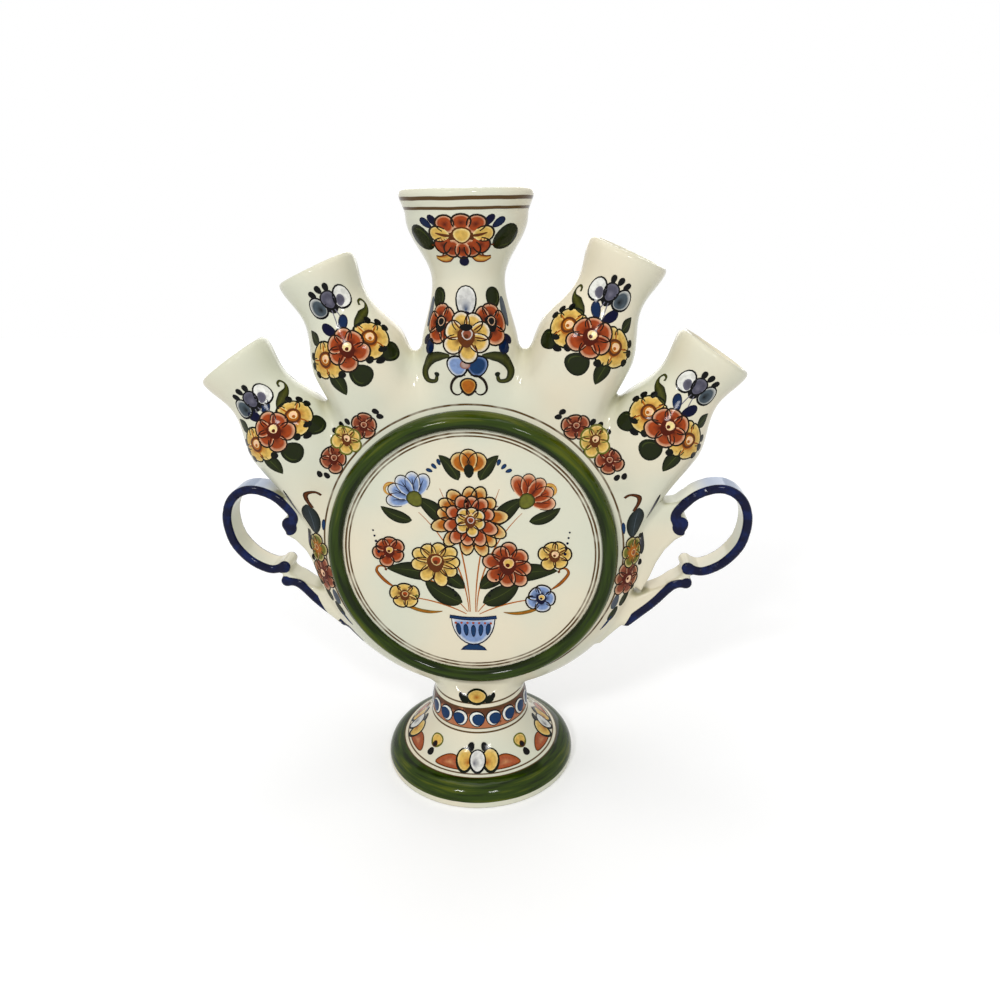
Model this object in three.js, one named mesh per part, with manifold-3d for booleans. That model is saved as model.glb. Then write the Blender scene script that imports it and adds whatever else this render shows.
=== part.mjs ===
import * as THREE from 'three';
import { mergeVertices } from 'three/addons/utils/BufferGeometryUtils.js';
import Module from 'manifold-3d';

// A five-spouted finger vase in glazed earthenware, in millimetres, +Z up.
// The origin is on the table, halfway between the reach of the two handles. The foot's own axis
// stands handleShift to its left. The painted front faces -Y.
// The potter's pieces are luted together with slip, which fills a thin seam between them.

// The seam between two luted pieces
const slipSeam = 0.3;

// Drum body: two half shells turned about the Y axis, joined on the plane y = 0
const seamRadius = 66.2;
const crownRise = 10.8; // how far the crown that the spouts stand on rises past the drum's edge
const roundelHalfDepth = 16.65;
const shoulderStart = 50; // radius where both shoulders begin to round over
const shoulderHalfDepth = 13.5;
const crownHalfDepth = 12.6;
const bodyWall = 4.5;
const cavityFlatRadius = 42;

// Raised ring that frames the round picture field
const ringInner = 49.6;
const ringWidth = 5.9;
const ringProud = 2.9; // height of the ring's crest over the picture field

// The pieces that stand on the drum end at this radius, on the outer painted line
const rootRing = 58.2;

// Side spouts: radius at the mouth, waist, belly and root, and how far below the lip each lies
const mouthRadius = 14.7;
const waistRadius = 12.6;
const waistDrop = 15;
const bellyRadius = 18.4;
const bellyDrop = 36;
const rootRadius = 17.7;
const spoutWall = 3.2;
const rootWall = 4;

// From the drum's edge to each side spout's lip, along its axis
const outerLeftLength = 52.9;
const innerLeftLength = 52.8;
const innerRightLength = 57;
const outerRightLength = 53.8;

// Centre spout, the same way, with a banded lip
const centreLength = 64.6;
const centreLipRadius = 23.4;
const centreCupRadius = 21.4;
const centreCupDrop = 9;
const centreWaistRadius = 13;
const centreWaistDrop = 31;
const centreRootRadius = 18;
const centreRootDrop = 57;

// How deep a spout's blank reaches past the drum's edge before it is cut to sit on the drum
const rootReach = 26;

// Each spout: where its axis crosses the drum's edge and how it leans, both in degrees from the
// upright towards +X
const spouts = [
  { name: 'outer_left_spout', seat: -64.3, lean: -34.8, length: outerLeftLength },
  { name: 'inner_left_spout', seat: -31, lean: -23.9, length: innerLeftLength },
  { name: 'centre_spout', seat: 0, lean: 0, length: centreLength, centre: true },
  { name: 'inner_right_spout', seat: 30.1, lean: 24.4, length: innerRightLength },
  { name: 'outer_right_spout', seat: 62.9, lean: 33.8, length: outerRightLength },
];

// Fillets that carry a round piece down onto the drum's shoulder: half depth at the root ring,
// and half depth and radius where the fillet has run out
const filletRootHalfDepth = 11;
const spoutFilletHalfDepth = 18.6;
const spoutFilletRadius = 80;
const stemFilletHalfDepth = 18.6;
const stemFilletRadius = 63;

// Foot, a hollow spreading cone, with the stem on top of it
const footRadius = 39.4;
const footEdgeHeight = 3.2;
const bandRadius = 32; // top of the convex green band
const bandHeight = 9.6;
const footNeckRadius = 20;
const footHeight = 22.8;
const footWall = 5;
const footRingWidth = 4.4;
const bandFullness = 0.8; // how far inside the foot's edge the band's curve is drawn to
const bandSlack = 1; // and how far below the band's top
const coneSpread = 4; // the same for the hollow curve of the cone: out from its neck
const coneLift = 4.5; // and up from the band

// Stem with a painted belt
const beltHeight = 10.5;
const beltTopRadius = 18.4;
const beltBulge = 0.7;
const drumSettle = 0.3; // how far the drum's lowest point lies below the belt's upper edge
const stemRadius = 17.7;
const stemNeckRise = 4; // from the belt to the stem's narrowest place
const stemBore = 13;

// Scroll handles: a strap on edge with a knob at each end, and two webs that carry it
const strapWidth = 11.8;
const strapThickness = 3.6;
const strapChamfer = 1.6; // along both outer edges
const upperKnobRadius = 2.9;
const lowerKnobRadius = 2.3;
const webWidth = 10.8;
const handleShift = 3; // both handles sit this far to the right of their mirror places
const leftHandleDrop = 2; // the left handle sits this much lower than the right one

// Mesh fineness
const drumSides = 44;
const footSides = 36;
const spoutSides = 18;
const lipSteps = 2;
const outlineSteps = 4;
const shoulderSteps = 6;
const strapSteps = 32;
const tailSteps = 14;
const knobSides = 14;
const ringArcSteps = 5;
const footCurveSteps = 4;

const crownRadius = seamRadius + crownRise;
const beltTop = footHeight + beltHeight;
const drumHeight = beltTop - drumSettle + seamRadius; // the drum's axis above the table

const farSize = 400; // larger than the vase, for blocks that cut everything beyond a plane
const mergeDistance = 1e-4;

const wasm = await Module();
wasm.setup();

const glaze = { roughness: 0.12, metalness: 0 };
const creamGlaze = new THREE.MeshStandardMaterial({ color: 0xe3dec9, ...glaze });
const greenGlaze = new THREE.MeshStandardMaterial({ color: 0x3a4a1c, ...glaze });
const blueGlaze = new THREE.MeshStandardMaterial({ color: 0x1c2c74, ...glaze });

// A closed three.js geometry as a solid that can be joined and cut
function solidOf(geometry) {
  const bare = geometry.clone();
  bare.deleteAttribute('normal');
  bare.deleteAttribute('uv');
  const merged = mergeVertices(bare, mergeDistance);
  return new wasm.Manifold(new wasm.Mesh({
    numProp: 3,
    vertProperties: merged.attributes.position.array,
    triVerts: new Uint32Array(merged.index.array),
  }));
}

function meshOf(name, solid, material) {
  const { vertProperties, triVerts } = solid.getMesh();
  const geometry = new THREE.BufferGeometry();
  geometry.setAttribute('position', new THREE.BufferAttribute(vertProperties, 3));
  geometry.setIndex(new THREE.BufferAttribute(triVerts, 1));
  geometry.computeVertexNormals();
  const mesh = new THREE.Mesh(geometry, material);
  mesh.name = name;
  return mesh;
}

// A profile of [radius, height] pairs, turned about the Y axis
function turnedAboutY(profile, sides) {
  const points = profile.map(([radius, height]) => new THREE.Vector2(radius, height));
  return new THREE.LatheGeometry(points, sides);
}

// The same, stood upright
function turnedUpright(profile, sides) {
  return turnedAboutY(profile, sides).rotateX(Math.PI / 2);
}

// The block beyond a plane in XZ that passes through x, z and faces along `facing` radians from +X
function blockBeyond(x, z, facing) {
  const block = new THREE.BoxGeometry(farSize, farSize, farSize);
  return solidOf(block.translate(farSize / 2, 0, 0).rotateY(-facing).translate(x, 0, z));
}

// A smooth outline through [radius, drop] stations, eased so that each station is a turning point
function easedOutline(stations) {
  const outline = [stations[0]];
  for (let i = 1; i < stations.length; i++) {
    const [fromRadius, fromDrop] = stations[i - 1];
    const [toRadius, toDrop] = stations[i];
    const steps = fromRadius === toRadius ? 1 : outlineSteps;
    for (let step = 1; step <= steps; step++) {
      const part = step / steps;
      const ease = (1 - Math.cos(Math.PI * part)) / 2;
      outline.push([
        THREE.MathUtils.lerp(fromRadius, toRadius, ease),
        THREE.MathUtils.lerp(fromDrop, toDrop, part),
      ]);
    }
  }
  return outline;
}

// The quarter-ellipse shoulder from its start, at `depth`, out to the edge, where the depth is 0
function shoulderOutline(start, edge, depth) {
  const outline = [];
  for (let step = 0; step <= shoulderSteps; step++) {
    const turn = (Math.PI / 2) * (step / shoulderSteps);
    outline.push([start + (edge - start) * Math.sin(turn), depth * Math.cos(turn)]);
  }
  return outline;
}

function shoulderDepthAt(radius, start, edge, depth) {
  return depth * Math.sqrt(1 - ((radius - start) / (edge - start)) ** 2);
}

const ringOuter = ringInner + ringWidth;
const ringSeatDepth = Math.max(
  shoulderDepthAt(ringOuter, shoulderStart, seamRadius, shoulderHalfDepth),
  crownHalfDepth,
);

// Mirrors the half profile of a drum in the plane y = 0, so that it runs from pole to pole
function wholeDrum(half) {
  const front = half.map(([radius, depth]) => [radius, -depth]);
  const back = half.slice(0, -1).reverse();
  return solidOf(turnedAboutY([...front, ...back], drumSides));
}

// The drum's outside, swollen by `extra` where another piece has to keep clear of it
function drumOutside(extra) {
  const shoulder = shoulderOutline(shoulderStart, seamRadius + extra, shoulderHalfDepth + extra)
    .filter(([radius]) => radius > ringOuter + slipSeam);
  return wholeDrum([
    [0, roundelHalfDepth + extra],
    [ringInner - slipSeam, roundelHalfDepth + extra],
    [ringInner - slipSeam, ringSeatDepth + extra],
    [ringOuter + slipSeam, ringSeatDepth + extra],
    ...shoulder,
  ]);
}

// Everything above both outer spouts' axes, where the crown runs
function crownSector(extra) {
  const [first, last] = [spouts[0], spouts[spouts.length - 1]];
  const low = THREE.MathUtils.degToRad(first.seat);
  const high = THREE.MathUtils.degToRad(last.seat);
  return blockBeyond(extra * Math.cos(high), -extra * Math.sin(high), Math.PI - high)
    .intersect(blockBeyond(-extra * Math.cos(low), extra * Math.sin(low), -low));
}

function crownOutside(extra) {
  const half = [
    [0, crownHalfDepth + extra],
    ...shoulderOutline(shoulderStart, crownRadius + extra, crownHalfDepth + extra),
  ];
  return wholeDrum(half).intersect(crownSector(extra));
}

// The filled outside of the body, which cuts the foot of every piece that stands on it
function bodyOutside(extra) {
  return drumOutside(extra).add(crownOutside(extra));
}

function bodyCavity() {
  const depth = roundelHalfDepth - bodyWall;
  const drum = wholeDrum([
    [0, depth],
    ...shoulderOutline(cavityFlatRadius, seamRadius - bodyWall, depth),
  ]);
  const crown = wholeDrum([
    [0, crownHalfDepth - bodyWall],
    ...shoulderOutline(cavityFlatRadius, crownRadius - bodyWall, crownHalfDepth - bodyWall),
  ]);
  return drum.add(crown.intersect(crownSector(-bodyWall)));
}

// Where a spout's axis crosses the drum's edge, in XZ from the drum's centre
function seatPoint(seatDegrees, radius) {
  const seat = THREE.MathUtils.degToRad(seatDegrees);
  return [radius * Math.sin(seat), radius * Math.cos(seat)];
}

// Stands a geometry whose lip is at its origin on a spout's axis
function onSpoutAxis(geometry, spout) {
  const lean = THREE.MathUtils.degToRad(spout.lean);
  const [x, z] = seatPoint(spout.seat, seamRadius);
  return geometry
    .rotateY(lean)
    .translate(x + spout.length * Math.sin(lean), 0, z + spout.length * Math.cos(lean));
}

function spoutStations(spout) {
  const end = spout.length + rootReach;
  if (spout.centre) {
    return [
      [centreLipRadius, spoutWall / 2],
      [centreCupRadius, centreCupDrop],
      [centreWaistRadius, centreWaistDrop],
      [centreRootRadius, centreRootDrop],
      [centreRootRadius, end],
    ];
  }
  return [
    [mouthRadius, spoutWall / 2],
    [waistRadius, waistDrop],
    [bellyRadius, bellyDrop],
    [rootRadius, spout.length],
    [rootRadius, end],
  ];
}

// A spout's outside as a filled solid, `extra` larger where a handle has to keep clear of it
function spoutOutside(spout, extra) {
  const outline = easedOutline(spoutStations(spout)).map(([r, drop]) => [r + extra, -drop]);
  const lip = [];
  for (let step = 1; step <= lipSteps; step++) {
    const turn = (Math.PI / 2) * (step / lipSteps);
    lip.push([
      outline[0][0] - (spoutWall / 2) * (1 - Math.cos(turn)),
      -(spoutWall / 2) * (1 - Math.sin(turn)) + extra,
    ]);
  }
  const bottom = outline[outline.length - 1][1];
  const profile = [[0, bottom], ...outline.reverse(), ...lip, [0, extra]];
  return solidOf(onSpoutAxis(turnedUpright(profile, spoutSides), spout));
}

// The room inside a spout, from its open mouth down through the body's wall into the cavity
function spoutHollow(spout) {
  const outline = easedOutline(spoutStations(spout)).map(([r, drop]) => [r - spoutWall, -drop]);
  const lip = [];
  for (let step = 1; step <= lipSteps; step++) {
    const turn = (Math.PI / 2) * (step / lipSteps);
    lip.push([
      outline[0][0] + (spoutWall / 2) * (1 - Math.cos(turn)),
      -(spoutWall / 2) * (1 - Math.sin(turn)),
    ]);
  }
  const bottom = outline[outline.length - 1][1];
  const mouth = lip[lip.length - 1][0];
  const profile = [[0, bottom], ...outline.reverse(), ...lip, [mouth, spoutWall], [0, spoutWall]];
  return solidOf(onSpoutAxis(turnedUpright(profile, spoutSides), spout))
    .intersect(rootFillet(spoutFilletRadius, spoutFilletHalfDepth, rootWall));
}

// The envelope that fillets a round root onto the shoulder, turned about the drum's axis and
// `wall` thinner where it shapes a hollow
function rootFillet(runOutRadius, runOutHalfDepth, wall) {
  return wholeDrum([
    [0, filletRootHalfDepth - wall],
    [rootRing, filletRootHalfDepth - wall],
    [runOutRadius, runOutHalfDepth - wall],
    [runOutRadius, farSize / 2],
    [farSize / 2, farSize / 2],
    [farSize / 2, 0],
  ]);
}

const rootCut = bodyOutside(slipSeam).add(solidOf(
  new THREE.CylinderGeometry(rootRing, rootRing, farSize, drumSides),
));

// The mirror plane between two neighbouring spouts, as a block that lies to one side of it
function beyondNeighbour(spout, neighbour) {
  const side = Math.sign(neighbour.seat - spout.seat);
  const lean = THREE.MathUtils.degToRad((spout.lean + neighbour.lean) / 2);
  const [x, z] = seatPoint((spout.seat + neighbour.seat) / 2, seamRadius);
  const back = (-side * slipSeam) / 2;
  const facing = side > 0 ? -lean : Math.PI - lean;
  return blockBeyond(x + back * Math.cos(lean), z - back * Math.sin(lean), facing);
}

function spoutSolid(spout, index) {
  let solid = spoutOutside(spout, 0)
    .intersect(rootFillet(spoutFilletRadius, spoutFilletHalfDepth, 0))
    .subtract(rootCut)
    .subtract(spoutHollow(spout));
  for (const neighbour of [spouts[index - 1], spouts[index + 1]]) {
    if (neighbour) solid = solid.subtract(beyondNeighbour(spout, neighbour));
  }
  return solid;
}

// One half of the hollow body: side is -1 for the painted front, +1 for the back
function bodyShell(side) {
  const keep = new THREE.BoxGeometry(farSize, farSize / 2, farSize)
    .translate(0, side * (farSize / 4 + slipSeam / 2), 0);
  let shell = bodyOutside(0).subtract(bodyCavity());
  for (const spout of spouts) shell = shell.subtract(spoutHollow(spout));
  return shell.intersect(solidOf(keep));
}

// A half-round ring on its seat, turned about the Y axis
function ringSolid(side) {
  const seat = ringSeatDepth + slipSeam;
  const crest = roundelHalfDepth + ringProud;
  const middle = ringInner + ringWidth / 2;
  const spring = roundelHalfDepth; // where the half round begins
  const section = [[ringInner, seat], [ringOuter, seat]];
  for (let step = 0; step <= ringArcSteps; step++) {
    const turn = Math.PI * (step / ringArcSteps);
    section.push([
      middle + (ringWidth / 2) * Math.cos(turn),
      spring + (crest - spring) * Math.sin(turn),
    ]);
  }
  section.push([ringInner, seat]);
  const ring = turnedAboutY(section, drumSides);
  if (side < 0) ring.rotateX(Math.PI);
  return solidOf(ring);
}

// Handle outlines are given from the drum's centre, for the right-hand side, as [x, z]
const strapLine = [
  [76.6, 8.9], [74.4, 11.4], [75.4, 14.8], [80.2, 19.6], [84.4, 22], [88.8, 23.2], [93, 22.9],
  [97, 20.8], [100.2, 16.6], [101.6, 10], [100.3, 2], [97, -3.6], [92, -8.2], [85.6, -10.8],
  [80.2, -9.4],
];
const upperWeb = [
  [54, -8], [62.6, -20.6], [65.8, -13.5], [68, -7.5], [71.2, -1.8], [74.8, 2.2], [78.4, 4.4],
  [75.4, 12], [79.6, 17.4], [78, 19.2], [74.6, 17.6], [70, 17.2], [54, 22],
];
const lowerWeb = [
  [48, -24], [61, -22], [66.4, -19.4], [72.4, -16.8], [77.4, -12.8], [80.6, -9.6], [82, -12.4],
  [80, -15.4], [76.8, -16.2], [73.6, -18], [69.2, -23], [65.4, -26.8], [61.6, -30],
  [55, -35.8], [47, -43.4], [42, -38],
];
const tailLine = [
  [80, -15.9], [77, -16.2], [74.6, -17.3], [72, -19.8], [69.2, -23], [66, -26.2], [62.4, -29.3],
  [57.6, -33.6],
];

// An upright strap that follows a line in XZ, with its width across the vase
function strapAlong(line, steps) {
  const [across, thick] = [strapWidth / 2, strapThickness / 2];
  const section = new THREE.Shape();
  section.moveTo(-across, -thick);
  section.lineTo(across, -thick);
  section.lineTo(across, thick - strapChamfer);
  section.lineTo(across - strapChamfer, thick);
  section.lineTo(strapChamfer - across, thick);
  section.lineTo(-across, thick - strapChamfer);
  const path = new THREE.CatmullRomCurve3(line.map(([x, z]) => new THREE.Vector3(x, 0, z)));
  return new THREE.ExtrudeGeometry(section, { steps, extrudePath: path });
}

function webSolid(outline) {
  const shape = new THREE.Shape(outline.map(([x, z]) => new THREE.Vector2(x, z)));
  const web = new THREE.ExtrudeGeometry(shape, { depth: webWidth, bevelEnabled: false });
  return solidOf(web.translate(0, 0, -webWidth / 2).rotateX(Math.PI / 2));
}

function knobSolid([x, z], radius) {
  const knob = new THREE.CylinderGeometry(radius, radius, strapWidth, knobSides);
  return solidOf(knob.translate(x, 0, z));
}

const outerLeft = spouts[0];
const outerRight = spouts[spouts.length - 1];

// side is +1 for the right-hand handle and -1 for its mirror image on the left
function handleSolid(side, spout) {
  const handle = solidOf(strapAlong(strapLine, strapSteps))
    .add(solidOf(strapAlong(tailLine, tailSteps)))
    .add(webSolid(upperWeb))
    .add(webSolid(lowerWeb))
    .add(knobSolid(strapLine[0], upperKnobRadius))
    .add(knobSolid(strapLine[strapLine.length - 1], lowerKnobRadius))
    .add(knobSolid(tailLine[0], lowerKnobRadius));
  const placed = side < 0
    ? handle.mirror([1, 0, 0]).translate([handleShift, 0, -leftHandleDrop])
    : handle.translate([handleShift, 0, 0]);
  return placed.subtract(rootCut).subtract(spoutOutside(spout, slipSeam));
}

function stemSolid() {
  const top = drumHeight - rootRing + rootReach;
  const outside = [
    [footNeckRadius, footHeight],
    [footNeckRadius + beltBulge / 2, footHeight + beltHeight / 5],
    [(footNeckRadius + beltTopRadius) / 2 + beltBulge, footHeight + beltHeight / 2],
    [beltTopRadius, beltTop],
    [stemRadius, beltTop + stemNeckRise],
    [stemRadius, top],
  ];
  const bore = [[stemBore, top], [stemBore, footHeight]];
  const stem = solidOf(turnedUpright([...outside, ...bore, outside[0]], footSides));
  const overhead = solidOf(
    turnedAboutY([[0, -farSize], [rootRing, -farSize], [rootRing, farSize], [0, farSize]], drumSides),
  );
  const drum = bodyOutside(slipSeam).add(overhead).translate([0, 0, drumHeight]);
  const fillet = rootFillet(stemFilletRadius, stemFilletHalfDepth, 0).translate([0, 0, drumHeight]);
  return stem.subtract(drum).intersect(fillet);
}

function footSolid() {
  const top = footHeight - slipSeam;
  const cone = new THREE.QuadraticBezierCurve(
    new THREE.Vector2(bandRadius, bandHeight),
    new THREE.Vector2(footNeckRadius + coneSpread, bandHeight + coneLift),
    new THREE.Vector2(footNeckRadius, top),
  );
  const band = new THREE.QuadraticBezierCurve(
    new THREE.Vector2(footRadius, footEdgeHeight),
    new THREE.Vector2(footRadius - bandFullness, bandHeight - bandSlack),
    new THREE.Vector2(bandRadius, bandHeight),
  );
  const outside = [
    [footRadius, 0],
    ...band.getPoints(footCurveSteps).map((p) => [p.x, p.y]),
    ...cone.getPoints(footCurveSteps).slice(1).map((p) => [p.x, p.y]),
  ];
  const hollow = [
    [stemBore, top],
    [stemBore, top - footWall],
    [bandRadius - footWall, bandHeight - footWall / 2],
    [footRadius - footRingWidth, 0],
  ];
  return solidOf(turnedUpright([...outside, ...hollow, outside[0]], footSides));
}

// The drum, its rings, the spouts and the handles are placed from the drum's centre
const drum = new THREE.Group();
drum.position.z = drumHeight;
drum.add(meshOf('body_front_shell', bodyShell(-1), creamGlaze));
drum.add(meshOf('body_back_shell', bodyShell(1), creamGlaze));
drum.add(meshOf('front_ring', ringSolid(-1), greenGlaze));
drum.add(meshOf('back_ring', ringSolid(1), greenGlaze));
spouts.forEach((spout, index) => {
  drum.add(meshOf(spout.name, spoutSolid(spout, index), creamGlaze));
});
drum.add(meshOf('left_handle', handleSolid(-1, outerLeft), blueGlaze));
drum.add(meshOf('right_handle', handleSolid(1, outerRight), blueGlaze));

const vase = new THREE.Group();
vase.position.x = -handleShift;
vase.add(drum);
vase.add(meshOf('stem', stemSolid(), creamGlaze));
vase.add(meshOf('foot', footSolid(), creamGlaze));

export default vase;
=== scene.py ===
import math

import bmesh
import bpy
import numpy as np
from mathutils import Matrix, Vector
from mathutils.bvhtree import BVHTree


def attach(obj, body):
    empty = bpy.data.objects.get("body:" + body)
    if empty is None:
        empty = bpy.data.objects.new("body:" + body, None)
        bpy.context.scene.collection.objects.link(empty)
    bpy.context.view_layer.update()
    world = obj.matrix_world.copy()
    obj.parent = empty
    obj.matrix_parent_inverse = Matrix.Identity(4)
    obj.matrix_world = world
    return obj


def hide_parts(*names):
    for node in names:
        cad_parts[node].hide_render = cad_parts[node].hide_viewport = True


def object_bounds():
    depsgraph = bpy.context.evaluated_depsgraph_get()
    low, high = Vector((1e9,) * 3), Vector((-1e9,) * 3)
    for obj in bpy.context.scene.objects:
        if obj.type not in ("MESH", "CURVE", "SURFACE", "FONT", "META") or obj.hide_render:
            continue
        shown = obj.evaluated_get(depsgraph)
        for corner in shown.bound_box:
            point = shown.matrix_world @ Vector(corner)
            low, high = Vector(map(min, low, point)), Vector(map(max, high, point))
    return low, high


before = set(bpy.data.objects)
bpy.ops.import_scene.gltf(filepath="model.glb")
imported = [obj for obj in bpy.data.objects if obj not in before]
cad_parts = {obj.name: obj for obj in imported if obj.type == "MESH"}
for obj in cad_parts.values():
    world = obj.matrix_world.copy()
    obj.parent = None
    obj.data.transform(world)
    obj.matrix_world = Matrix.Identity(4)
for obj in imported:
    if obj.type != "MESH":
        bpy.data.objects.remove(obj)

# A painted and glazed earthenware finger vase. Its shape is worked out in millimetres round the
# drum's own centre, as one smooth clay surface, and is then parted into the potter's pieces.

CAD_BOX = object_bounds()
SCENE = bpy.context.scene
MM = 0.001

# Sizes in millimetres, the same as the CAD model's
HANDLE_SHIFT = 3.0
SEAM_RADIUS = 66.2
CROWN_RADIUS = 77.0
FIELD_DEPTH = 16.65
SHOULDER_START = 50.0
SHOULDER_DEPTH = 13.5
CROWN_DEPTH = 12.6
BODY_WALL = 4.5
CAVITY_FLAT = 42.0
RING_INNER = 49.6
RING_WIDTH = 5.9
RING_PROUD = 2.9
ROOT_RING = 58.2
ROOT_HALF_DEPTH = 11.0
SPOUT_FILLET = (80.0, 18.6)
STEM_FILLET = (63.0, 18.6)
SPOUT_WALL = 3.2
ROOT_WALL = 4.0
ROOT_REACH = 26.0
FOOT_RADIUS = 39.4
FOOT_EDGE = 3.2
BAND_RADIUS = 32.0
BAND_HEIGHT = 9.6
FOOT_NECK = 20.0
FOOT_HEIGHT = 22.8
FOOT_WALL = 5.0
FOOT_RING_WIDTH = 4.4
BELT_TOP = 33.3
BELT_RADIUS = 18.4
BELT_BULGE = 0.7
STEM_RADIUS = 17.7
STEM_NECK_RISE = 4.0
STEM_BORE = 13.0
STRAP_WIDTH = 11.8
STRAP_THICKNESS = 3.6
WEB_WIDTH = 10.8
LEFT_HANDLE_DROP = 2.0
DRUM_HEIGHT = BELT_TOP - 0.3 + SEAM_RADIUS

# Each spout: seat and lean in degrees from the upright towards +X, and its length from the drum
SPOUTS = {
    "outer_left": (-64.3, -34.8, 52.9),
    "inner_left": (-31.0, -23.9, 52.8),
    "centre": (0.0, 0.0, 64.6),
    "inner_right": (30.1, 24.4, 57.0),
    "outer_right": (62.9, 33.8, 53.8),
}
# Outside radius at each distance below the lip
SIDE_OUTLINE = [(1.6, 14.7), (15.0, 12.6), (36.0, 18.4), (53.0, 17.7), (90.0, 17.7)]
CENTRE_OUTLINE = [(1.6, 23.4), (9.0, 21.4), (31.0, 13.0), (57.0, 18.0), (100.0, 18.0)]

# Handle outlines from the drum's centre, for the right-hand side
STRAP_LINE = [
    (76.6, 8.9), (74.4, 11.4), (75.4, 14.8), (80.2, 19.6), (84.4, 22.0), (88.8, 23.2),
    (93.0, 22.9), (97.0, 20.8), (100.2, 16.6), (101.6, 10.0), (100.3, 2.0), (97.0, -3.6),
    (92.0, -8.2), (85.6, -10.8), (80.2, -9.4),
]
UPPER_WEB = [
    (54.0, -8.0), (62.6, -20.6), (65.8, -13.5), (68.0, -7.5), (71.2, -1.8), (74.8, 2.2),
    (78.4, 4.4), (78.4, 8.0), (75.4, 12.0), (79.6, 17.4), (78.0, 19.2), (74.6, 17.6),
    (70.0, 17.2), (54.0, 22.0),
]
LOWER_WEB = [
    (48.0, -24.0), (61.0, -22.0), (66.4, -19.4), (72.4, -16.8), (77.4, -12.8), (80.6, -9.6),
    (82.0, -12.4), (80.0, -15.4), (76.8, -16.2), (73.6, -18.0), (69.2, -23.0), (65.4, -26.8),
    (61.6, -30.0), (55.0, -35.8), (47.0, -43.4), (42.0, -38.0),
]
TAIL_LINE = [
    (80.0, -15.9), (77.0, -16.2), (74.6, -17.3), (72.0, -19.8), (69.2, -23.0), (66.0, -26.2),
    (62.4, -29.3), (57.6, -33.6),
]
UPPER_KNOB = 2.9
LOWER_KNOB = 2.3

# How far the forms run into each other, as wet clay does, in millimetres
FIELD_BLEND = 0.3
CROWN_BLEND = 3.0
SPOUT_BLEND = 3.6
STEM_BLEND = 4.0
HANDLE_BLEND = 2.4
WEB_BLEND = 1.2
KNOB_BLEND = 0.8
INSIDE_BLEND = 2.0

# How far their edges are rounded off
FIELD_ROUND = 0.7
CROWN_ROUND = 4.0
LIP_ROUND = 2.2
ROOT_ROUND = 5.0
ROOT_INSIDE_ROUND = 3.0
STEM_ROUND = 3.0
FOOT_ROUND = 0.8
HOLLOW_ROUND = 1.0
STRAP_ROUND = 1.3
WEB_ROUND = 1.6

# A flared form's field rises faster than distance does, so it is scaled back
SPOUT_SLOPE = 0.93
STAND_SLOPE = 0.85
HOLLOW_SLOPE = 0.75

FIELD_RADIUS = RING_INNER + 0.2
# From the drum's centre: the top of the foot's hollow and of the stand's region, below it, and the
# handles' region and roots, to the side
HOLLOW_TOP = -64.5
STAND_TOP = -20
HANDLES_BEYOND = 40
HANDLE_START = 52
# How the green band and the cone above it bow out between their ends
BAND_CURVE = (0.8, 1)
CONE_CURVE = (4, 4.5)
HOLLOW_FLARE = 0.8
# The stand's outlines run on straight to these heights, under the floor and into the drum
UNDER_FLOOR = -20
IN_THE_DRUM = 80
CURVE_STEPS = 24


# Joining and cutting smooth shapes, each given as its distance in millimetres from points

def joined(a, b, soft):
    share = np.clip(0.5 + 0.5 * (b - a) / soft, 0, 1)
    return b + (a - b) * share - soft * share * (1 - share)


def common(a, b, soft):
    return -joined(-a, -b, soft)


def box_2d(u, v, half_u, half_v, corner):
    qu = np.abs(u) - (half_u - corner)
    qv = np.abs(v) - (half_v - corner)
    outside = np.hypot(np.maximum(qu, 0), np.maximum(qv, 0))
    return outside + np.minimum(np.maximum(qu, qv), 0) - corner


def eased_outline(stations):
    """A smooth outline through (drop, radius) stations, level at each."""
    drops, radii = [stations[0][0]], [stations[0][1]]
    for (d0, r0), (d1, r1) in zip(stations, stations[1:]):
        for step in range(1, CURVE_STEPS + 1):
            part = step / CURVE_STEPS
            drops.append(d0 + (d1 - d0) * part)
            radii.append(r0 + (r1 - r0) * (1 - math.cos(math.pi * part)) / 2)
    return np.array(drops), np.array(radii)


def bezier(p0, p1, p2):
    t = np.linspace(0, 1, CURVE_STEPS + 1)[:, None]
    p0, p1, p2 = np.array(p0), np.array(p1), np.array(p2)
    return (1 - t) ** 2 * p0 + 2 * t * (1 - t) * p1 + t ** 2 * p2


def smooth_line(points, steps=6):
    """A Catmull-Rom line through points."""
    p = np.array([points[0], *points, points[-1]], float)
    line = []
    for i in range(1, len(p) - 2):
        for step in range(steps):
            t = step / steps
            a, b, c, d = p[i - 1], p[i], p[i + 1], p[i + 2]
            line.append(0.5 * (2 * b + (c - a) * t + (2 * a - 5 * b + 4 * c - d) * t * t
                               + (3 * b - a - 3 * c + d) * t ** 3))
    line.append(p[-2])
    return np.array(line)


SIDE_DROPS, SIDE_RADII = eased_outline(SIDE_OUTLINE)
CENTRE_DROPS, CENTRE_RADII = eased_outline(CENTRE_OUTLINE)


def spout_frame(name):
    """Lip centre, direction and length of a spout, from the drum's centre in XZ."""
    seat, lean, length = SPOUTS[name]
    way = np.array([math.sin(math.radians(lean)), math.cos(math.radians(lean))])
    root = SEAM_RADIUS * np.array([math.sin(math.radians(seat)), math.cos(math.radians(seat))])
    return root + way * length, way, length


def spout_radius(name, drop):
    if name == "centre":
        return np.interp(drop, CENTRE_DROPS, CENTRE_RADII)
    return np.interp(drop, SIDE_DROPS, SIDE_RADII)


def fillet_cone(r, t, run_out, wall=0.0):
    slope = (run_out[1] - ROOT_HALF_DEPTH) / (run_out[0] - ROOT_RING)
    return (t - ROOT_HALF_DEPTH + wall - slope * (r - ROOT_RING)) / math.hypot(1, slope)


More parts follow.
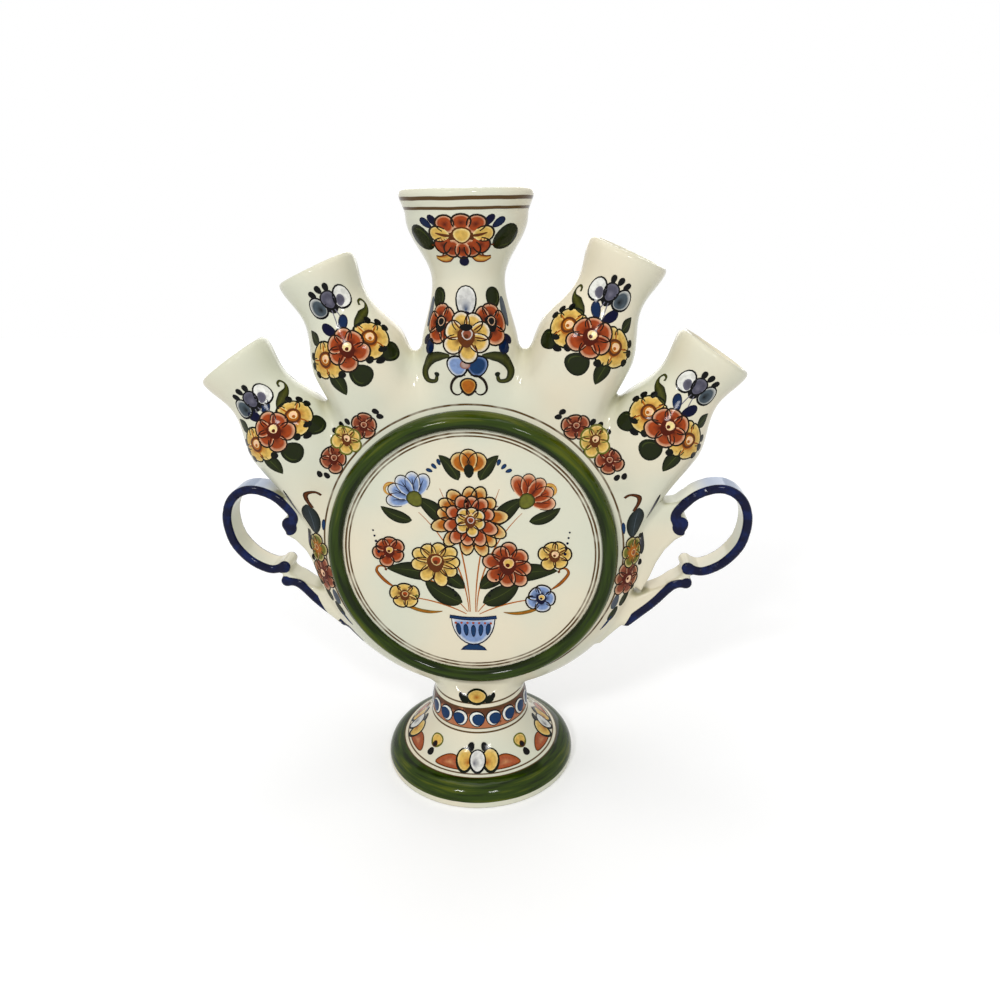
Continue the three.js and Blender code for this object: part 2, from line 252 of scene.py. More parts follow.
def flattened_drum(r, t, flat, edge, depth):
    """A drum with flat faces out to `flat` and a quarter-ellipse shoulder out to `edge`."""
    u = np.maximum(r - flat, 0) / (edge - flat)
    v = t / depth
    level = np.sqrt(u * u + v * v) + 1e-9
    slope = np.sqrt((u / (edge - flat)) ** 2 + (v / depth) ** 2) / level
    return (level - 1) / np.maximum(slope, 1e-4)


def sector_beyond(x, z):
    """How far outside the crown's sector a point lies."""
    low, high = math.radians(SPOUTS["outer_left"][0]), math.radians(SPOUTS["outer_right"][0])
    right = x * math.cos(high) - z * math.sin(high)
    left = -x * math.cos(low) + z * math.sin(low)
    return np.maximum(left, right)


def foot_outline():
    """Heights and radii of the foot, belt and stem, from the table up."""
    band = bezier((FOOT_RADIUS, FOOT_EDGE), (FOOT_RADIUS - BAND_CURVE[0], BAND_HEIGHT - BAND_CURVE[1]),
                  (BAND_RADIUS, BAND_HEIGHT))
    cone = bezier((BAND_RADIUS, BAND_HEIGHT), (FOOT_NECK + CONE_CURVE[0], BAND_HEIGHT + CONE_CURVE[1]),
                  (FOOT_NECK, FOOT_HEIGHT))
    belt = [(FOOT_NECK + (BELT_RADIUS - FOOT_NECK) * t + BELT_BULGE * math.sin(math.pi * t),
             FOOT_HEIGHT + (BELT_TOP - FOOT_HEIGHT) * t) for t in np.linspace(0.1, 1, 10)]
    neck = [(BELT_RADIUS + (STEM_RADIUS - BELT_RADIUS) * t, BELT_TOP + STEM_NECK_RISE * t)
            for t in np.linspace(0.25, 1, 4)]
    points = np.vstack([[(FOOT_RADIUS, UNDER_FLOOR)], band, cone[1:], belt, neck,
                        [(STEM_RADIUS, IN_THE_DRUM)]])
    return points[:, 1], points[:, 0]


FOOT_HEIGHTS, FOOT_RADII = foot_outline()
HOLLOW_HEIGHTS = [-1.0, 0.0, BAND_HEIGHT - FOOT_WALL / 2, FOOT_HEIGHT - FOOT_WALL, IN_THE_DRUM]
HOLLOW_RADII = [FOOT_RADIUS - FOOT_RING_WIDTH + HOLLOW_FLARE, FOOT_RADIUS - FOOT_RING_WIDTH,
                BAND_RADIUS - FOOT_WALL, STEM_BORE, STEM_BORE]


def line_distance(x, z, line):
    """Distance to a line in XZ."""
    best = np.full(x.shape, 1e9)
    for (ax, az), (bx, bz) in zip(line, line[1:]):
        dx, dz = bx - ax, bz - az
        t = np.clip(((x - ax) * dx + (z - az) * dz) / (dx * dx + dz * dz), 0, 1)
        best = np.minimum(best, (x - ax - t * dx) ** 2 + (z - az - t * dz) ** 2)
    return np.sqrt(best)


def outline_distance(x, z, outline):
    """Signed distance to a closed outline in XZ, negative inside."""
    inside = np.zeros(x.shape, bool)
    for (ax, az), (bx, bz) in zip(outline, [*outline[1:], outline[0]]):
        crosses = (az > z) != (bz > z)
        if az != bz:
            inside ^= crosses & (x < (bx - ax) * (z - az) / (bz - az) + ax)
    distance = line_distance(x, z, [*outline, outline[0]])
    return np.where(inside, -distance, distance)


STRAP = smooth_line(STRAP_LINE)
TAIL = smooth_line(TAIL_LINE)
# The rolled ends of the strap and of the tail: a place and a radius each
KNOBS = ((STRAP_LINE[0], UPPER_KNOB), (STRAP_LINE[-1], LOWER_KNOB), (TAIL_LINE[0], LOWER_KNOB))


def handle_field(x, y, z):
    """One scroll handle, for the right-hand side."""
    half, thick = STRAP_WIDTH / 2, STRAP_THICKNESS / 2
    upper, lower, tail_end = [np.hypot(x - at[0], z - at[1]) - (radius - thick) for at, radius in KNOBS]
    strap = joined(line_distance(x, z, STRAP), np.minimum(upper, lower), KNOB_BLEND)
    tail = joined(line_distance(x, z, TAIL), tail_end, KNOB_BLEND)
    bars = box_2d(np.minimum(strap, tail), y, thick, half, STRAP_ROUND)
    web = np.minimum(outline_distance(x, z, UPPER_WEB), outline_distance(x, z, LOWER_WEB))
    web = common(web, np.abs(y) - WEB_WIDTH / 2, WEB_ROUND)
    return joined(bars, web, WEB_BLEND)


def clay(points):
    """Distance of points from the whole vase's surface, negative in the clay."""
    x, y, z = points[:, 0], points[:, 1], points[:, 2]
    r, t = np.hypot(x, z), np.abs(y)
    shoulder = flattened_drum(r, t, SHOULDER_START, SEAM_RADIUS, SHOULDER_DEPTH)
    field = box_2d(r, t, FIELD_RADIUS, FIELD_DEPTH, FIELD_ROUND)
    crown = flattened_drum(r, t, SHOULDER_START, CROWN_RADIUS, CROWN_DEPTH)
    crown = common(crown, sector_beyond(x, z), CROWN_ROUND)
    body = joined(joined(shoulder, crown, CROWN_BLEND), field, FIELD_BLEND)
    cavity = flattened_drum(r, t, CAVITY_FLAT, SEAM_RADIUS - BODY_WALL, FIELD_DEPTH - BODY_WALL)
    top_room = flattened_drum(r, t, CAVITY_FLAT, CROWN_RADIUS - BODY_WALL, CROWN_DEPTH - BODY_WALL)
    top_room = common(top_room, sector_beyond(x, z) + BODY_WALL, INSIDE_BLEND)
    cavity = joined(cavity, top_room, INSIDE_BLEND)

    rho = np.hypot(x, y)
    height = z + DRUM_HEIGHT
    stand = (rho - np.interp(height, FOOT_HEIGHTS, FOOT_RADII)) * STAND_SLOPE
    stand = common(stand, -height, FOOT_ROUND)
    stand = common(stand, fillet_cone(r, t, STEM_FILLET), STEM_ROUND)
    hollow = (rho - np.interp(height, HOLLOW_HEIGHTS, HOLLOW_RADII)) * HOLLOW_SLOPE
    hollow = common(common(hollow, -shoulder, HOLLOW_ROUND), z - HOLLOW_TOP, HOLLOW_ROUND)
    low = z < STAND_TOP
    body[low] = common(joined(body[low], stand[low], STEM_BLEND), -hollow[low], FOOT_ROUND)

    for name in SPOUTS:
        lip, way, length = spout_frame(name)
        drop = -((x - lip[0]) * way[0] + (z - lip[1]) * way[1])
        across = (x - lip[0]) * way[1] - (z - lip[1]) * way[0]
        ring = np.hypot(across, y)
        radius = spout_radius(name, drop)
        outer = (ring - radius) * SPOUT_SLOPE
        outer = common(outer, -drop, LIP_ROUND)
        outer = common(outer, fillet_cone(r, t, SPOUT_FILLET), ROOT_ROUND)
        outer = np.maximum(outer, drop - length - ROOT_REACH)
        body = joined(body, outer, SPOUT_BLEND)
        inner = (ring - radius + SPOUT_WALL) * SPOUT_SLOPE
        inner = common(inner, fillet_cone(r, t, SPOUT_FILLET, ROOT_WALL), ROOT_INSIDE_ROUND)
        inner = np.maximum(inner, drop - length - ROOT_REACH)
        cavity = joined(cavity, inner, INSIDE_BLEND)

    side = np.abs(x - HANDLE_SHIFT) > HANDLES_BEYOND
    for sign, fall in ((1, 0.0), (-1, LEFT_HANDLE_DROP)):
        near = side & (sign * x > 0)
        if near.any():
            u = sign * (x[near] - HANDLE_SHIFT)
            handle = handle_field(u, y[near], z[near] + fall)
            handle = np.maximum(handle, -(np.hypot(u, z[near]) - HANDLE_START))
            body[near] = joined(body[near], handle, HANDLE_BLEND)
    return common(body, -cavity, LIP_ROUND)


# One closed skin over the clay

VOXEL = 1.0
SKIN_X = (-109.0, 111.0)
SKIN_Y = 42.0
SKIN_TOP = 134.0
SKIN_BELOW = 2.6 * VOXEL
SLAB = 400000
SLOPE_REACH = 0.02
SETTLING_ROUNDS = 4
LONGEST_MOVE = 0.6 * VOXEL
NEVER_ZERO = 1e-7
# The left handle's outer edge stays inside the CAD model's box
LEFT_EDGE = CAD_BOX[0][0] / MM + HANDLE_SHIFT + 0.01


def clay_by_slabs(points):
    return np.concatenate([clay(slab) for slab in np.array_split(points, max(1, len(points) // SLAB))])


def slope_at(points):
    """The field's gradient, which points out of the clay."""
    slope = np.empty(points.shape)
    for axis in range(3):
        offset = np.zeros(3)
        offset[axis] = SLOPE_REACH
        rise = clay_by_slabs(points + offset) - clay_by_slabs(points - offset)
        slope[:, axis] = rise / (2 * SLOPE_REACH)
    return slope


def outward(points):
    slope = slope_at(points)
    return slope / np.maximum(np.linalg.norm(slope, axis=1), 1e-6)[:, None]


def skin():
    """Corner points and four-sided faces of the clay's surface, both sides of y = 0 alike."""
    xs = np.arange(SKIN_X[0], SKIN_X[1], VOXEL)
    half = np.arange(0.0, SKIN_Y, VOXEL)
    zs = np.arange(-DRUM_HEIGHT - SKIN_BELOW, SKIN_TOP, VOXEL)
    grid = np.stack(np.meshgrid(xs, half, zs, indexing="ij"), -1).reshape(-1, 3)
    near_side = clay_by_slabs(grid).reshape(len(xs), len(half), len(zs))
    level = np.concatenate([near_side[:, :0:-1], near_side], 1) + NEVER_ZERO
    ys = np.concatenate([-half[:0:-1], half])

    cells = tuple(n - 1 for n in level.shape)
    total = np.zeros((*cells, 3))
    count = np.zeros(cells)
    steps = [np.eye(3, dtype=int)[axis] for axis in range(3)]
    crossings = []
    for axis in range(3):
        lower = [slice(None)] * 3
        upper = [slice(None)] * 3
        lower[axis], upper[axis] = slice(0, -1), slice(1, None)
        a, b = level[tuple(lower)], level[tuple(upper)]
        where = np.argwhere((a < 0) != (b < 0))
        first = a[tuple(where.T)]
        share = first / (first - b[tuple(where.T)])
        place = where.astype(float)
        place[:, axis] += share
        crossings.append((axis, where, first < 0))
        u, v = [other for other in range(3) if other != axis]
        for du in (0, 1):
            for dv in (0, 1):
                cell = where - du * steps[u] - dv * steps[v]
                good = np.all((cell >= 0) & (cell < np.array(cells)), 1)
                index = tuple(cell[good].T)
                np.add.at(total, index, place[good])
                np.add.at(count, index, 1)

    used = np.argwhere(count > 0)
    number = np.full(cells, -1)
    number[tuple(used.T)] = np.arange(len(used))
    mean = total[tuple(used.T)] / count[tuple(used.T)][:, None]
    points = np.array([xs[0], ys[0], zs[0]]) + mean * VOXEL

    quads = []
    for axis, where, leaving in crossings:
        u, v = (axis + 1) % 3, (axis + 2) % 3
        corners = [where - steps[u] - steps[v], where - steps[v], where, where - steps[u]]
        quad = np.stack([number[tuple(corner.T)] for corner in corners], 1)
        quad[~leaving] = quad[~leaving][:, ::-1]
        quads.append(quad)
    quads = np.concatenate(quads)

    for _ in range(SETTLING_ROUNDS):
        slope = slope_at(points)
        push = clay_by_slabs(points)[:, None] * slope / np.maximum((slope ** 2).sum(1), 0.05)[:, None]
        length = np.linalg.norm(push, axis=1)[:, None]
        points = points - push * np.minimum(1, LONGEST_MOVE / np.maximum(length, 1e-9))
    points[:, 0] = np.maximum(points[:, 0], LEFT_EDGE)
    return points, quads


SKIN_POINTS, SKIN_QUADS = skin()
SKIN_TREE = BVHTree.FromPolygons(SKIN_POINTS.tolist(), SKIN_QUADS.tolist())


def to_part(points):
    """From millimetres round the drum to metres in the part's frame."""
    return (np.asarray(points) + np.array([-HANDLE_SHIFT, 0, DRUM_HEIGHT])) * MM


def from_part(points):
    return np.asarray(points) / MM + np.array([HANDLE_SHIFT, 0, -DRUM_HEIGHT])


def new_object(name, points, faces):
    mesh = bpy.data.meshes.new(name)
    mesh.from_pydata(np.asarray(points).tolist(), [], np.asarray(faces).tolist()
                     if isinstance(faces, np.ndarray) else faces)
    mesh.validate()
    mesh.update()
    piece = bpy.data.objects.new(name, mesh)
    SCENE.collection.objects.link(piece)
    return piece


def mesh_points(mesh):
    flat = np.empty(len(mesh.vertices) * 3, np.float32)
    mesh.vertices.foreach_get("co", flat)
    return flat.reshape(-1, 3).astype(float)


CUTTER_HALF_DEPTH = 60.0


def plate(name, outline):
    """A cutter: an outline in XZ (drum millimetres) run through from front to back."""
    n = len(outline)
    ends = [[(x, y, z) for x, z in outline] for y in (-CUTTER_HALF_DEPTH, CUTTER_HALF_DEPTH)]
    faces = [list(range(n))[::-1], list(range(n, 2 * n))]
    faces += [[i, (i + 1) % n, n + (i + 1) % n, n + i] for i in range(n)]
    piece = new_object(name, to_part(np.array(ends).reshape(-1, 3)), faces)
    facing_out(piece.data)
    return piece


def facing_out(mesh):
    shape = bmesh.new()
    shape.from_mesh(mesh)
    bmesh.ops.recalc_face_normals(shape, faces=shape.faces)
    shape.to_mesh(mesh)
    shape.free()


def block(name, low, high):
    corners = [(x, y, z) for x in (low[0], high[0]) for y in (low[1], high[1])
               for z in (low[2], high[2])]
    faces = [(0, 1, 3, 2), (4, 6, 7, 5), (0, 4, 5, 1), (2, 3, 7, 6), (0, 2, 6, 4), (1, 5, 7, 3)]
    piece = new_object(name, to_part(corners), faces)
    facing_out(piece.data)
    return piece


def parted(whole, tool, operation):
    """A new mesh: what two closed shapes share, or the first without the second."""
    cut = whole.modifiers.new("cut", "BOOLEAN")
    cut.operation = operation
    cut.solver = "MANIFOLD"
    cut.object = tool
    graph = bpy.context.evaluated_depsgraph_get()
    mesh = bpy.data.meshes.new_from_object(whole.evaluated_get(graph))
    whole.modifiers.remove(cut)
    return mesh


CROTCH_ANGLE = 75.3
CROWN_CUT = CROWN_RADIUS + 1.2
HANDLE_CUT = SEAM_RADIUS + 2.6
STEM_CUT = SEAM_RADIUS + 0.4
HANDLE_END_ANGLE = 142.0
OUTLINE_TURN = 2
FAR = 160.0


def body_outline():
    """Where the spouts, handles and stem meet the body, as one outline in XZ."""
    outline = []
    for degree in range(-180, 180, OUTLINE_TURN):
        turn = abs(degree)
        radius = CROWN_CUT
        if turn >= CROTCH_ANGLE:
            radius = HANDLE_CUT if turn < HANDLE_END_ANGLE else STEM_CUT
        angle = math.radians(degree)
        outline.append((radius * math.sin(angle), radius * math.cos(angle)))
    return outline


def loose_parts(mesh):
    """The separate closed parts of a mesh, as (points, triangles)."""
    points = mesh_points(mesh)
    mesh.calc_loop_triangles()
    flat = np.empty(len(mesh.loop_triangles) * 3, np.int32)
    mesh.loop_triangles.foreach_get("vertices", flat)
    triangles = flat.reshape(-1, 3)
    label = np.arange(len(points))
    while True:
        low = label[triangles].min(1)
        new = label.copy()
        for corner in range(3):
            np.minimum.at(new, triangles[:, corner], low)
        new = new[new]
        if np.array_equal(new, label):
            break
        label = new
    parts = []
    for value in np.unique(label[triangles[:, 0]]):
        mine = triangles[label[triangles[:, 0]] == value]
        used, renumbered = np.unique(mine, return_inverse=True)
        parts.append((points[used], renumbered.reshape(-1, 3)))
    return parts


# A triangle within this of the surface, and turned about as it is, gets its smooth shading
ON_SKIN = 0.12
SAME_WAY = 0.3


def skinned(name, points, triangles):
    """A clay piece whose shading follows the whole vase's surface right across its joints."""
    piece = new_object(name, points, triangles)
    mesh = piece.data
    place = from_part(mesh_points(mesh))
    near = outward(place)
    corner = np.empty(len(mesh.loops), np.int32)
    mesh.loops.foreach_get("vertex_index", corner)
    faces = corner.reshape(-1, 3)
    a, b, c = place[faces[:, 0]], place[faces[:, 1]], place[faces[:, 2]]
    flat = np.cross(b - a, c - a)
    flat /= np.maximum(np.linalg.norm(flat, axis=1), 1e-12)[:, None]
    on_skin = np.abs(clay_by_slabs((a + b + c) / 3)) < ON_SKIN
    soft = near[faces]
    smooth = on_skin & ((soft * flat[:, None]).sum(2).min(1) > SAME_WAY)
    normals = np.where(smooth[:, None, None], soft, flat[:, None])
    mesh.polygons.foreach_set("use_smooth", np.ones(len(faces), bool))
    mesh.normals_split_custom_set(normals.reshape(-1, 3).tolist())
    return piece


# Where neighbours outside the body part: a point in XZ, and the turn of the border that runs on from it
BORDERS = [(-90.0, -60.0, -142.0), (-76.0, 20.0, -50.0), (-53.8, 55.1, -29.4), (-20.4, 74.2, -12.0),
           (20.4, 74.2, 12.0), (53.8, 55.1, 29.0), (74.6, 19.6, 50.0), (90.0, -60.0, 142.0)]
NEIGHBOURS = ["left_handle", "outer_left_spout", "inner_left_spout", "centre_spout",
              "inner_right_spout", "outer_right_spout", "right_handle", "stand"]


def wedge(start, end):
    """A cutter from the drum's middle out between two borders."""
    outline = [(0.0, 0.0)]
    for x, z, turn in (start, end):
        angle = math.radians(turn)
        way = [(x, z), (x + FAR * math.sin(angle), z + FAR * math.cos(angle))]
        outline += way if (x, z, turn) == start else way[::-1]
    middle = math.radians((start[2] + end[2]) / 2 + (180 if start[2] > end[2] else 0))
    outline.insert(3, (2 * FAR * math.sin(middle), 2 * FAR * math.cos(middle)))
    return plate("wedge", outline)


def shape_of(name, mesh):
    shape = bpy.data.objects.new(name, mesh)
    SCENE.collection.objects.link(shape)
    return shape


def largest_part(mesh):
    return max(loose_parts(mesh), key=lambda part: len(part[1]))


def clay_pieces():
    """The vase parted into body shells, spouts, handles, stem and foot."""
    whole = new_object("whole_vase", to_part(SKIN_POINTS), SKIN_QUADS)
    drum = plate("drum_cutter", body_outline())
    front = block("front_cutter", (-FAR, -FAR, -FAR), (FAR, 0.0, FAR))
    below = block("foot_cutter", (-FAR, -FAR, -FAR), (FAR, FAR, FOOT_HEIGHT - DRUM_HEIGHT))
    body = shape_of("body", parted(whole, drum, "INTERSECT"))
    outside = shape_of("outside", parted(whole, drum, "DIFFERENCE"))
    scaffold = [whole, drum, front, below, body, outside]

    meshes = {"body_front_shell": parted(body, front, "INTERSECT"),
              "body_back_shell": parted(body, front, "DIFFERENCE")}
    for number, name in enumerate(NEIGHBOURS):
        cutter = wedge(BORDERS[number], BORDERS[(number + 1) % len(BORDERS)])
        scaffold.append(cutter)
        meshes[name] = parted(outside, cutter, "INTERSECT")
    stand = shape_of("stand", meshes.pop("stand"))
    scaffold.append(stand)
    meshes["foot"] = parted(stand, below, "INTERSECT")
    meshes["stem"] = parted(stand, below, "DIFFERENCE")
    pieces = {name: skinned(name, *largest_part(mesh)) for name, mesh in meshes.items()}
    for tool in scaffold:
        bpy.data.objects.remove(tool)
    return pieces


# Node trees for what runs or repeats round the vase

def node_tree(name, *sizes):
    """A new tree with named inputs, the outputs that hand them on, and a short call that adds a
    node with its sources."""
    group = bpy.data.node_groups.new(name, "GeometryNodeTree")
    group.interface.new_socket("Geometry", in_out="OUTPUT", socket_type="NodeSocketGeometry")
    for label, kind in (("Geometry", "Geometry"), *sizes, ("Glaze", "Material")):
        group.interface.new_socket(label, in_out="INPUT", socket_type="NodeSocket" + kind)

    def add(kind, **sources):
        node = group.nodes.new(kind)
        for label, source in sources.items():
            socket = node.inputs[label.replace("_", " ")]
            if isinstance(source, bpy.types.NodeSocket):
                group.links.new(source, socket)
            else:
                socket.default_value = source
        return node.outputs
    return group, group.nodes.new("NodeGroupInput").outputs, add


def glazed_output(group, given, add, geometry):
    """Ends a tree in plain geometry with its glaze on it."""
    real = add("GeometryNodeRealizeInstances", Geometry=geometry)
    dressed = add("GeometryNodeSetMaterial", Geometry=real["Geometry"], Material=given["Glaze"])
    group.links.new(dressed["Geometry"], group.nodes.new("NodeGroupOutput").inputs["Geometry"])
    return group


def swept_ring_tree():
    """Carries a section, drawn as a loop of edges, round an upright circle."""
    group, given, add = node_tree("swept_ring", ("Radius", "Float"), ("Rounds", "Int"),
                                  ("Middle", "Vector"))
    circle = add("GeometryNodeCurvePrimitiveCircle", Radius=given["Radius"], Resolution=given["Rounds"])
    section = add("GeometryNodeMeshToCurve", Mesh=given["Geometry"])
    ring = add("GeometryNodeCurveToMesh", Curve=circle["Curve"], Profile_Curve=section["Curve"])
    upright = add("GeometryNodeTransform", Geometry=ring["Mesh"], Translation=given["Middle"],
                  Rotation=(math.pi / 2, 0, 0))
    return glazed_output(group, given, add, upright["Geometry"])


def repeats_tree():
    """Lays the same brushwork again and again round an upright axis."""
    group, given, add = node_tree("repeats_round_axis", ("Count", "Int"), ("Axis", "Vector"),
                                  ("Step", "Vector"))
    back = add("ShaderNodeVectorMath", Vector=given["Axis"])[0]
    back.node.operation = "SCALE"
    back.node.inputs["Scale"].default_value = -1
    centred = add("GeometryNodeTransform", Geometry=given["Geometry"], Translation=back)
    places = add("GeometryNodePoints", Count=given["Count"], Position=given["Axis"])
    turn = add("ShaderNodeVectorMath", Vector=given["Step"])[0]
    turn.node.operation = "SCALE"
    group.links.new(add("GeometryNodeInputIndex")["Index"], turn.node.inputs["Scale"])
    laid = add("GeometryNodeInstanceOnPoints", Points=places[0], Instance=centred["Geometry"],
               Rotation=turn)
    return glazed_output(group, given, add, laid["Instances"])


def grown(base, group, glaze, **sizes):
    """Turns an object's mesh into the plain mesh that a node tree makes of it."""
    growth = base.modifiers.new(group.name, "NODES")
    growth.node_group = group
    given = {**sizes, "Glaze": glaze}
    for item in group.interface.items_tree:
        if item.in_out == "INPUT" and item.name in given:
            growth[item.identifier] = given[item.name]
    graph = bpy.context.evaluated_depsgraph_get()
    mesh = bpy.data.meshes.new_from_object(base.evaluated_get(graph), preserve_all_data_layers=True,
                                           depsgraph=graph)
    base.modifiers.remove(growth)
    base.data = mesh
    return base


SWEPT_RING = swept_ring_tree()
REPEATS = repeats_tree()
RING_SEAT = 12.2
RING_SUNK = 0.3
RING_LAP = 0.15
RING_FULLNESS = 0.85
RING_ROUNDS = 180
SECTION_STEPS = 18


def ring_piece(name, side, glaze):
    """The half-round ring round a picture field, on the front (side -1) or the back (1)."""
    inner_seat = FIELD_DEPTH - RING_SUNK
    crest = FIELD_DEPTH + RING_PROUD
    half = RING_WIDTH / 2 + RING_LAP
    section = []
    for j in range(SECTION_STEPS + 1):
        bend = math.pi * j / SECTION_STEPS
        seat = RING_SEAT if j * 2 < SECTION_STEPS else inner_seat
        rise = (crest - seat) * math.sin(bend) ** RING_FULLNESS
        section.append((half * math.cos(bend), side * (seat + rise), 0))
    section += [(-half, side * RING_SEAT, 0), (0, side * RING_SEAT, 0)]
    n = len(section)
    mesh = bpy.data.meshes.new(name)
    mesh.from_pydata((np.array(section) * MM).tolist(), [(i, (i + 1) % n) for i in range(n)], [])
    piece = grown(shape_of(name, mesh), SWEPT_RING, glaze, Radius=(RING_INNER + RING_WIDTH / 2) * MM,
                  Rounds=RING_ROUNDS, Middle=tuple(to_part((0, 0, 0))))
    facing_out(piece.data)
    piece.data.shade_smooth()
    return piece


# Brushwork: every dab and line is a thin closed flake of colour laid on the glaze

PAINT_LIFT = 0.05
COAT = 0.025
PAINT_SUNK = 0.12
TORN = 2.2
RINGS = (1.0, 0.86, 0.7, 0.5, 0.26)


def linear(*seen):
    """A colour as it looks, 0 to 255, as the shader's numbers."""
    return tuple(((c / 255 + 0.055) / 1.055) ** 2.4 if c > 10 else c / 255 / 12.92 for c in seen)


INK = linear(30, 20, 8)
BLACK = linear(8, 10, 10)
LEAF = linear(14, 22, 6)
LEAF_LIGHT = linear(62, 72, 26)
OLIVE = linear(104, 106, 36)
RED = linear(160, 66, 24)
RED_DEEP = linear(82, 22, 4)
ROSE = linear(142, 76, 52)
PEACH = linear(244, 198, 158)
YELLOW = linear(220, 180, 90)
YELLOW_PALE = linear(242, 220, 152)
OCHRE = linear(176, 98, 22)
BROWN = linear(96, 48, 14)
NAVY = linear(4, 8, 44)
BLUE = linear(20, 56, 98)
BLUE_PALE = linear(128, 152, 196)
GREY = linear(112, 110, 124)
TEAL_GREY = linear(72, 84, 92)
WHITE = linear(236, 236, 228)


class Painting:
    """Colours laid on one part of the vase. `cast` turns (u, v) marks in millimetres, u to the
    right and v upwards, into the starts and ways of the rays that find the surface."""

    def __init__(self, cast):
        self.cast = cast
        self.marks, self.coats, self.colours, self.flakes = [], [], [], []
        self.count = 0

    def flake(self, marks, coat, colours, faces, rim):
        """Adds one flake: its top, its underside and its edge."""
        n = len(marks)
        top, under = self.count, self.count + n
        self.marks += [tuple(mark) for mark in marks] * 2
        self.coats += [PAINT_LIFT + COAT * coat] * n + [-PAINT_SUNK] * n
        self.colours += list(colours) * 2
        closed = [[top + i for i in face] for face in faces]
        closed += [[under + i for i in reversed(face)] for face in faces]
        closed += [[top + b, top + a, under + a, under + b] for a, b in zip(rim, rim[1:] + rim[:1])]
        self.flakes.append(([top + i for i in rim], closed))
        self.count += 2 * n

    def blob(self, outline, edge, heart, coat=1.0, focus=None, rings=RINGS, core=None):
        """A filled dab: `edge` colour at its outline, then `heart`, then any `core` at its focus."""
        outline = np.asarray(outline, float)
        focus = outline.mean(0) if focus is None else np.asarray(focus, float)
        n = len(outline)
        marks, colours, faces = [], [], []
        for ring in rings:
            marks += list(focus + (outline - focus) * ring)
            colour = mixed(edge, heart, min(1.0, (1.0 - ring) * 3.4))
            if core and ring < 0.5:
                colour = mixed(heart, core, 0.45)
            colours += [colour] * n
        marks.append(focus)
        colours.append(core or heart)
        for k in range(len(rings) - 1):
            for i in range(n):
                j = (i + 1) % n
                faces.append([k * n + i, k * n + j, (k + 1) * n + j, (k + 1) * n + i])
        last = (len(rings) - 1) * n
        faces += [[last + i, last + (i + 1) % n, len(marks) - 1] for i in range(n)]
        self.flake(marks, coat, colours, faces, list(range(n)))

    def stroke(self, line, widths, edge, heart=None, coat=2.0, across=3):
        """A brush line along points, with a width at each."""
        line = np.asarray(line, float)
        widths = np.broadcast_to(np.asarray(widths, float), (len(line),))
        way = np.gradient(line, axis=0)
        way /= np.maximum(np.linalg.norm(way, axis=1), 1e-9)[:, None]
        side = np.stack([-way[:, 1], way[:, 0]], 1)
        heart = edge if heart is None else heart
        shares = np.linspace(-0.5, 0.5, across)
        marks = [line[i] + side[i] * widths[i] * share for i in range(len(line)) for share in shares]
        colours = [mixed(edge, heart, 1 - abs(2 * share) ** 2) for _ in line for share in shares]
        faces = [[i * across + k, (i + 1) * across + k, (i + 1) * across + k + 1, i * across + k + 1]
                 for i in range(len(line) - 1) for k in range(across - 1)]
        n = len(line)
        rim = ([i * across for i in range(n)] + [(n - 1) * across + k for k in range(1, across)]
               + [i * across + across - 1 for i in range(n - 2, -1, -1)]
               + [k for k in range(across - 2, 0, -1)])
        self.flake(marks, coat, colours, faces, rim)

    def lies_flat(self, hits, rim):
        """Whether a flake's rim stays together on the clay, with no mark beyond an edge."""
        ends = rim[1:] + rim[:1]
        marks = np.array(self.marks)[[rim, ends]]
        apart = np.linalg.norm(hits[rim] - hits[ends], axis=1)
        return (apart < TORN + TORN * np.linalg.norm(marks[0] - marks[1], axis=1)).all()

    def finish(self, name):
        """The laid colours as one object."""
        starts, ways = self.cast(np.array(self.marks))
        found = [SKIN_TREE.ray_cast(Vector(start), Vector(way))[0] for start, way in zip(starts, ways)]
        hits = np.array([(math.nan,) * 3 if hit is None else hit for hit in found])
        kept = [closed for rim, closed in self.flakes
                if not np.isnan(hits[np.concatenate(closed)]).any() and self.lies_flat(hits, rim)]
        used = np.unique(np.concatenate([np.concatenate(closed) for closed in kept]))
        number = np.full(self.count, -1)
        number[used] = np.arange(len(used))
        faces = [number[face].tolist() for closed in kept for face in closed]
        up = outward(hits[used])
        piece = new_object(name, to_part(hits[used] + up * np.array(self.coats)[used, None]), faces)
        facing_out(piece.data)
        mesh = piece.data
        colours = np.c_[self.colours, np.ones(self.count)][used]
        paint = mesh.color_attributes.new("paint", "FLOAT_COLOR", "POINT")
        paint.data.foreach_set("color", colours.ravel())
        shaded(mesh, up)
        return piece


def shaded(mesh, up):
    """Smooth shading that follows the clay's own direction at each point."""
    mesh.shade_smooth()
    corner = np.empty(len(mesh.loops), np.int32)
    mesh.loops.foreach_get("vertex_index", corner)
    mesh.normals_split_custom_set(up[corner].tolist())


def mixed(a, b, share):
    return tuple(x + (y - x) * share for x, y in zip(a, b))


# Shapes of the brush, as outlines and lines in (u, v). In the motifs that use them, p is the
# painting, m is -1 on the left and 1 on the right, and lengths are in millimetres.

EGG_FULLNESS = 0.18

def egg(u, v, length, width, turn, points=18):
    """A dab longer one way, fuller at its far end. `turn` is clockwise degrees from upright."""
    angle = math.radians(turn)
    along = np.array([math.sin(angle), math.cos(angle)])
    side = np.array([along[1], -along[0]])
    t = np.linspace(0, 2 * math.pi, points, endpoint=False)
    reach = length / 2 * np.cos(t)
    half = width / 2 * np.sin(t) * (1 + EGG_FULLNESS * np.cos(t))
    return np.array([u, v]) + reach[:, None] * along + half[:, None] * side


def disc(u, v, radius, points=14):
    return egg(u, v, 2 * radius, 2 * radius, 0, points)


